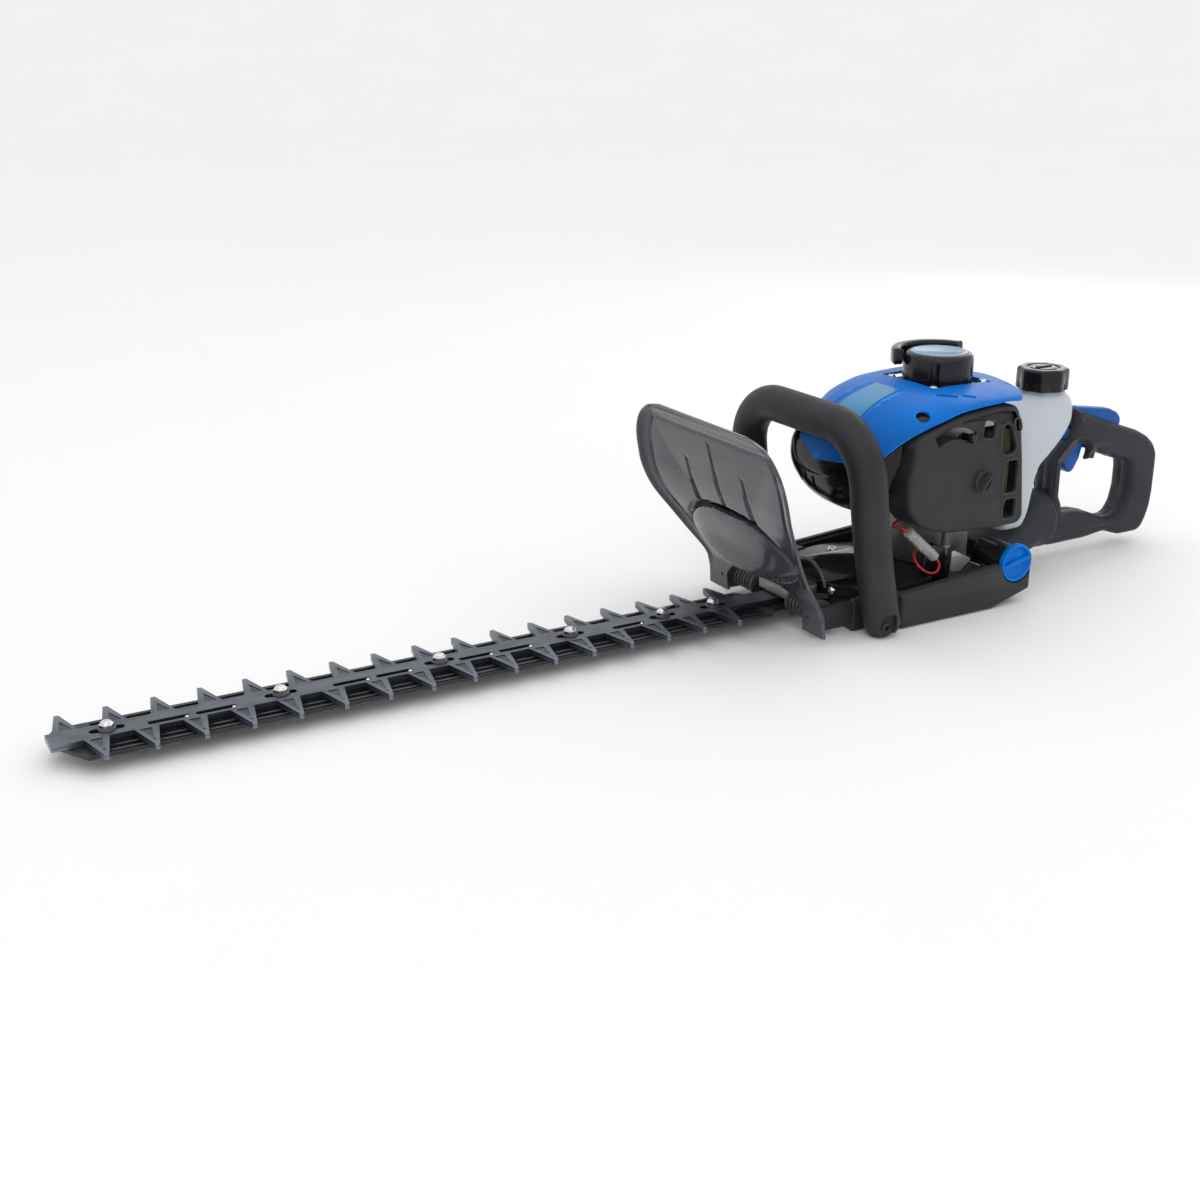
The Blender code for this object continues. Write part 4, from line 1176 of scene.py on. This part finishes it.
def make_starter():
    """A black drum with four notches, on a square flange with a screw in each corner."""
    profile = [(28.5, DRUM_LOW - 3), (STARTER, DRUM_LOW - 3), (STARTER, 192.1), (30.5, 195.1), (28.9, 197.3),
               (26.8, DRUM_TOP), (25.8, DRUM_TOP), (25.8, 197.7), (5, 197.7), (5, 195.8), (27.5, 195.8)]
    drum = mesh_object("starter_drum", turned_ring("Z", (CRANK_X, 0), profile, 96))
    notches = []
    for turn in (45, 135, 225, 315):
        c, s = math.cos(math.radians(turn)), math.sin(math.radians(turn))
        middle = (CRANK_X + 32.8 * c, 32.8 * s)
        notches.append(prism("Z", circle(*middle, 4.4, 28), DRUM_LOW + 1, 193.0))
    carve(drum, *notches)
    dress(soften(drum, 0.5, 40, 3), "gloss_black", nodes=("starter_housing",))
    flange = smoothed(rectangle(CRANK_X - 32, CRANK_X + 32, -32, 32), 4, 2)
    base = plate("Z", (flange, edge_profile(168.4, DRUM_LOW, 1.0, 3)),
                 (circle(CRANK_X, 0, 28, 60), [(0, 168.4), (0, DRUM_LOW)]))
    place("starter_flange", base, "gloss_black")
    for number, (i, k) in enumerate(((-1, -1), (-1, 1), (1, -1), (1, 1)), 1):
        x, y = CRANK_X + i * SCREW_REACH, k * SCREW_REACH
        screw_head(f"starter_screw_{number}", "Z", (x, y), DRUM_LOW, 3.6, 3.6)
        boss = turned("Z", (x, y), [(0, 168.8), (4.6, 168.8), (4.3, DRUM_LOW + 0.4), (0, DRUM_LOW + 0.4)], 28)
        place(f"starter_boss_{number}", boss, "gloss_black")


def make_badge():
    """A plain pale disc with one raised ring, in place of any mark."""
    profile = [(0, 197.8), (25.5, 197.8), (25.5, 198.9), (25.0, 199.2), (22.0, 199.2), (21.6, 199.0),
               (0, 199.0)]
    badge = turned("Z", (CRANK_X, 0), profile, 96)
    place("starter_badge_disc", badge, "badge_blue", nodes=("starter_badge",))


def make_grip():
    """A curved bar that hugs the drum, with a rope eye in its middle."""
    outline = arc(CRANK_X, 0, 42, 18, 162, 48) + arc(CRANK_X, 0, 33, 162, 18, 44)
    grip = slab("Z", outline, 3.5, 1.2, edge_profile(187.5, 202, 3.0, 5, both=True))
    place("starter_grip_bar", grip, "gloss_black", "starter_grip", "dark_plastic", ("starter_grip",))
    eye = turned("Y", (CRANK_X, 190.5), [(0, 33.6), (3.4, 33.6), (3.4, 30.9), (0, 30.9)], 20)
    place("starter_grip_eye", eye, "gloss_black", "starter_grip", "dark_plastic")


def make_rope():
    """The starter rope, a short straight length from the drum out to the grip's eye."""
    start = Vector((CRANK_X, 29.0, 189.8))
    end = Vector((CRANK_X, 33.5, 189.8))
    path = [start.lerp(end, i / 30) for i in range(31)]
    rope = mesh_object("starter_rope", tube(path, 1.6, 12))
    rope.data.materials.append(LOOKS["rope"])
    rope.data.shade_smooth()
    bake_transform(rope)


# ---------------------------------------------------------------- fuel tank and cap

TANK_LEVELS = (
    (32, 832, 862, 36, 0.5), (36, 830, 864, 40, 0.5), (48, 829, 867, 43, 0.5), (66, 828, 870, 44, 0.5),
    (88, 828, 876, 44, 0.5), (100, 829, 893, 43, 0.55), (112, 832, 915, 39, 0.65), (124, 840, 929, 35, 0.75),
    (136, 860, 933, 30, 0.85), (143, 873, 931.5, 27, 0.95), (147, 881, 928, 23.5, 1.0),
    (148.6, 885, 925.6, 20.4, 1.0), (150.5, 885.6, 924.4, 19.4, 1.0), (152, 885.6, 924.4, 19.4, 1.0),
    (163, 885.6, 924.4, 19.4, 1.0),
)
TANK_SEAM = 84.0
TANK_FOOT = 847
NECK = (905.0, 0.0)


def make_tank():
    rings = []
    for z, x0, x1, half, power in [TANK_LEVELS[0]] + spline(TANK_LEVELS, 6):
        seam = 0.8 * bell(z - TANK_SEAM, 1.6)
        outline = superellipse((x0 + x1) / 2, 0, (x1 - x0) / 2 + seam, half + seam, power, 72)
        rings.append([(x, y, z) for x, y in outline])
    low = [((x - TANK_FOOT) * 0.94 + TANK_FOOT, y * 0.95, 31.2) for x, y, _ in rings[0]]
    tank = mesh_object("fuel_tank_moulding", loft([low] + rings[1:]))
    collar = turned_ring("Z", NECK, [(19, 149.2), (21.2, 149.5), (21.2, 150.3), (19, 150.6)], 64)
    place("fuel_tank_collar", collar, "tank_plastic")
    dress(tank, "tank_plastic", nodes=("fuel_tank",))


def make_cap():
    """Eight flats with rounded corners, a bevelled crown and shallow finger scallops."""
    outline = smoothed(arc(*NECK, 24.2, 0, 360, 8)[:-1], 5, 1.5)
    walls = edge_profile(151.8, 171.5, 3.0, 5)
    cap = mesh_object("fuel_cap_shell", plate("Z", (outline, [(0.8, 151.5)] + walls)))
    cuts = [turned("Z", NECK, [(20.6, 140), (20.6, 166)], 48)]
    for k in range(8):
        angle = math.radians(22.5 + 45 * k)
        middle = (NECK[0] + 27.6 * math.cos(angle), 27.6 * math.sin(angle))
        cuts.append(turned("Z", middle, [(6.5, 150), (6.0, 157), (4.8, 160.5), (0.5, 162)], 24))
    cuts.append(turned_ring("Z", NECK, [(12.0, 170.6), (12.0, 173), (15.4, 173), (15.4, 170.6)], 48))
    carve(cap, *cuts)
    dress(soften(cap, 0.4), "gloss_black", "fuel_cap", nodes=("fuel_cap",))
    bar = rectangle(NECK[0] - 9, NECK[0] + 9, -2.2, 2.2)
    ridge = slab("Z", bar, 1.5, 1.0, edge_profile(171.2, 172.6, 0.5, 3))
    place("fuel_cap_ridge", ridge, "gloss_black", "fuel_cap")


# ---------------------------------------------------------------- rear handle

HANDLE_OUTER = (
    (918, 47), (917.5, 80), (926, 88), (937, 98), (941.5, 112), (941.5, 131), (954, 125), (972, 117.5),
    (990, 111), (1011, 104), (1030, 97.5), (1045, 90), (1054, 82), (1059.5, 72), (1060, 59), (1060, 32),
    (1058.5, 17), (1055, 6), (1050, -4), (1044, -8), (1020, -8), (998, -1), (972, -4), (930, -4.5),
    (918, -4),
)
HANDLE_INNER = (
    (928, 51), (927.5, 79), (935, 86), (946, 96), (961, 93), (963.5, 85), (960.5, 77), (966, 75.5),
    (969, 82), (975, 84), (984, 79), (995, 77), (1002, 72.5), (1013, 71), (1021, 67), (1023, 57),
    (1023, 38), (1020, 24), (1015, 16), (1008, 12.5), (997, 13), (975, 22), (961, 25.5), (938, 27),
    (935, 38),
)
GRIP_HALF = 14.0
SWIVEL_X = 915.0
SWIVEL_Z = 24.0
HUB = 28.5
PIVOT_RADIUS = 5.4


def hub_rings(side):
    """Half of the domed hub that swings on the mount, flat on the handle's parting plane."""
    rings = []
    profile = [(SWIVEL_X + 0.4, 0.5), (SWIVEL_X + 0.4, HUB - 1.2), (SWIVEL_X + 1.4, HUB)]
    profile += [(SWIVEL_X + 4 + 17 * math.sin(t), 4 + (HUB - 4) * math.cos(t))
                for t in (math.pi / 2 * i / 9 for i in range(9))]
    for x, r in profile:
        section = arc(0, SWIVEL_Z, r, -90, 90, 28)
        rings.append([(x, side * max(y, 0.15), z) for y, z in section])
    return rings


def make_rear_handle():
    outer = smoothed(HANDLE_OUTER, 14, 2.0)
    inner = smoothed(HANDLE_INNER, 9, 1.6)
    lockout_room = [(944, 140), (944, 115), (958, 112), (990, 102), (1004, 96), (1013, 96), (1013, 140)]
    room = [prism("Y", lockout_room, -6.4, 6.4), prism("Y", rectangle(936, 976, 60, 112), -7, 7),
            prism("X", circle(0, SWIVEL_Z, PIVOT_RADIUS, 24), SWIVEL_X - 5, 928)]
    for name, side in SIDES:
        foot = [(0.35, side * 0.15), (0.0, side * 0.15 + side * 0.4)]
        wall = edge_profile(side * 3, side * GRIP_HALF, 8.5, 8)[1:]
        half = plate("Y", (outer, foot + wall), (inner, foot + [(a * 0.8, h) for a, h in wall]))
        piece = mesh_object(f"rear_handle_shell_{name}", half)
        carve(piece, loft(hub_rings(side)), operation="UNION")
        soften(carve(piece, *room), 0.5, 45)
        dress(piece, "handle_plastic", "rear_handle", (f"rear_handle_{name}",))


def make_rear_controls():
    trigger = [(939, 104), (940, 92), (936.5, 82), (940, 70), (946, 64.5), (951, 66), (958, 78),
               (961, 90), (958, 101), (949, 108), (942, 109)]
    lockout = [(947, 118), (960, 116.5), (990, 107), (1003, 103), (1009.5, 105.5), (1008, 113),
               (1003, 118), (993, 122.5), (970, 126), (950, 129), (946.5, 126)]
    for name, node, outline, radius, half, edge in (
            ("trigger_blade", "trigger", trigger, 9, 6.2, 2.2),
            ("lockout_blade", "lockout_lever", lockout, 6, 5.6, 1.6)):
        blade = slab("Y", outline, radius, 1.2, edge_profile(-half, half, edge, 4, both=True))
        place(name, blade, "control_blue", node, "blue_plastic", (node,))


def make_swivel_mount():
    stations = ((828.6, 5, 33, 11, 0.7), (834, 5, 34, 12, 0.7), (856, 7, 31, 15, 0.8), (880, 15, 29, 23, 0.9),
                (900, 23.5, 28.4, 28.0, 1.0), (908, 24, 28.5, 28.5, 1.0), (912, 24, 28.5, 28.5, 1.0),
                (914.6, 24, 27.6, 27.6, 1.0))
    rings = [[(x, y, z) for y, z in superellipse(0, middle, wide, tall, power, 64)]
             for x, middle, wide, tall, power in spline(stations, 5)]
    mount = mesh_object("swivel_mount_moulding", loft(rings))
    carve(mount, prism("X", circle(0, SWIVEL_Z, PIVOT_RADIUS, 24), 897, 920))
    dress(soften(mount, 0.6, 45), "handle_plastic", nodes=("swivel_mount",))


# ---------------------------------------------------------------- springs

SPRING_X = 611.0
SPRING_TURNS = 6.5


def make_springs():
    """Close-wound black springs between two end plates, each on a rubber core."""
    centre = (SPRING_X, 0)
    for name, side in SIDES:
        path = []
        for i in range(int(SPRING_TURNS * 20) + 1):
            t = i / 20
            angle = 2 * math.pi * t
            path.append((SPRING_X + 9.0 * math.cos(angle), side * (28.5 + 30.0 * t / SPRING_TURNS),
                         9.0 * math.sin(angle)))
        place(f"av_spring_coil_{name}", tube(path, 1.5, 8), "spring_steel", nodes=(f"av_spring_{name}",))
        for part, low, high in (("inner", 24.4, 28.2), ("outer", 58.8, 62.6)):
            a, b = sorted((side * low, side * high))
            profile = [(0, a), (10.8, a), (11.8, a + 0.8), (11.8, b - 0.8), (10.8, b), (0, b)]
            seat = turned("Y", centre, profile, 40)
            place(f"av_spring_seat_{part}_{name}", seat, "dark_plastic", slot="spring_steel")
        profile = [(0, side * 28), (6.4, side * 28), (6.4, side * 59), (0, side * 59)]
        place(f"av_spring_core_{name}", turned("Y", centre, profile, 32), "gloss_black", slot="spring_steel")


# ---------------------------------------------------------------- finishing the frame's own nodes

for subpart in frame["record"]["subparts"]:
    node = NODES[subpart["node"]]
    node.data.materials.clear()
    node.data.materials.append(LOOKS[subpart["material_slot"]])
    weld = node.modifiers.new("weld", "WELD")
    weld.merge_threshold = 0.00002
    flat = node.modifiers.new("flat", "DECIMATE")
    flat.decimate_type = "DISSOLVE"
    flat.angle_limit = math.radians(0.5)
    soften(node, 0.4, 30)


make_blades()
make_guide_bar()
make_bar_bolts()
make_base()
make_plugs()
make_small_hardware()
make_gear_hump()
make_guard()
make_front_handle()
make_cowl()
make_cowl_pockets()
make_label()
make_shroud()
make_filter_cover()
make_muffler_cover()
make_filter_knob()
make_choke_lever()
make_starter()
make_badge()
make_grip()
make_rope()
make_tank()
make_cap()
make_rear_handle()
make_rear_controls()
make_swivel_mount()
make_springs()


# ---------------------------------------------------------------- stage

def area_light(name, where, target, size, power):
    data = bpy.data.lights.new(name, "AREA")
    data.shape = "RECTANGLE"
    data.size, data.size_y = size
    data.energy = power
    light = bpy.data.objects.new(name, data)
    light.location = where
    light.rotation_euler = (Vector(target) - Vector(where)).to_track_quat("-Z", "Y").to_euler()
    bpy.context.scene.collection.objects.link(light)


def make_floor():
    """A wide pale floor at the level that the machine stands on, turned up far away into a backdrop."""
    bend = [t * math.pi / 20 for t in range(1, 11)]
    profile = [(0.01, 0.0), (2.0, 0.0), (5.0, 0.0)]
    profile += [(5.0 + 4.0 * math.sin(t), 4.0 - 4.0 * math.cos(t)) for t in bend]
    profile.append((9.0, 5.5))
    bm = bmesh.new()
    rings = [[bm.verts.new((r * c, r * s, h)) for c, s in circle(0, 0, 1, 64)] for r, h in profile]
    for low, high in zip(rings, rings[1:]):
        for i in range(64):
            k = (i + 1) % 64
            bm.faces.new((low[i], high[i], high[k], low[k]))
    bm.faces.new(rings[0])
    bmesh.ops.recalc_face_normals(bm, faces=bm.faces)
    mesh = bpy.data.meshes.new("floor")
    bm.to_mesh(mesh)
    bm.free()
    mesh.shade_smooth()
    floor = bpy.data.objects.new("floor", mesh)
    floor.location.z = CAD_BOX[0][2] - 0.0002
    g = Graph("floor_paper")
    tone = g.mix(g.ramp(g.noise(3.0), 0.3, 0.7), (0.925, 0.925, 0.925), (0.935, 0.935, 0.935))
    g.set(Metallic=0.0, Specular_IOR_Level=0.2)
    rough = g.ramp(g.noise(30.0), 0.3, 0.7, 0.7, 0.8)
    mesh.materials.append(g.finish(tone, rough, g.bump(g.noise(200.0), 0.02, 0.001)))
    bpy.context.scene.collection.objects.link(floor)


def make_world():
    world = bpy.data.worlds.new("studio")
    world.use_nodes = True
    sky = world.node_tree.nodes["Background"]
    sky.inputs["Color"].default_value = (0.96, 0.96, 0.96, 1.0)
    sky.inputs["Strength"].default_value = WORLD_STRENGTH
    bpy.context.scene.world = world


CAMERA_AZIMUTH = math.radians(-29.44)
CAMERA_ELEVATION = math.radians(20.11)
CAMERA_PLACE = Vector((-0.6918, -1.0614, 0.4914))
CAMERA_LENS = 47.208
WORLD_STRENGTH = 1.05


def make_camera():
    data = bpy.data.cameras.new("camera")
    data.lens = CAMERA_LENS
    data.sensor_width = 36.0
    camera = bpy.data.objects.new("camera", data)
    level = math.cos(CAMERA_ELEVATION)
    back = Vector((math.sin(CAMERA_AZIMUTH) * level, -math.cos(CAMERA_AZIMUTH) * level,
                   math.sin(CAMERA_ELEVATION)))
    camera.location = CAMERA_PLACE
    camera.rotation_euler = (-back).to_track_quat("-Z", "Y").to_euler()
    bpy.context.scene.collection.objects.link(camera)
    bpy.context.scene.camera = camera


bpy.context.scene.view_settings.view_transform = "Standard"
make_camera()
make_floor()
make_world()
area_light("key", (-0.9, -1.6, 1.9), (0.1, 0.0, 0.05), (1.2, 1.2), 4.5)
area_light("top", (0.1, 0.2, 1.8), (0.1, 0.0, 0.0), (1.8, 1.0), 2.0)
area_light("rim", (1.6, 1.0, 1.0), (0.2, 0.0, 0.1), (0.8, 1.2), 2.5)
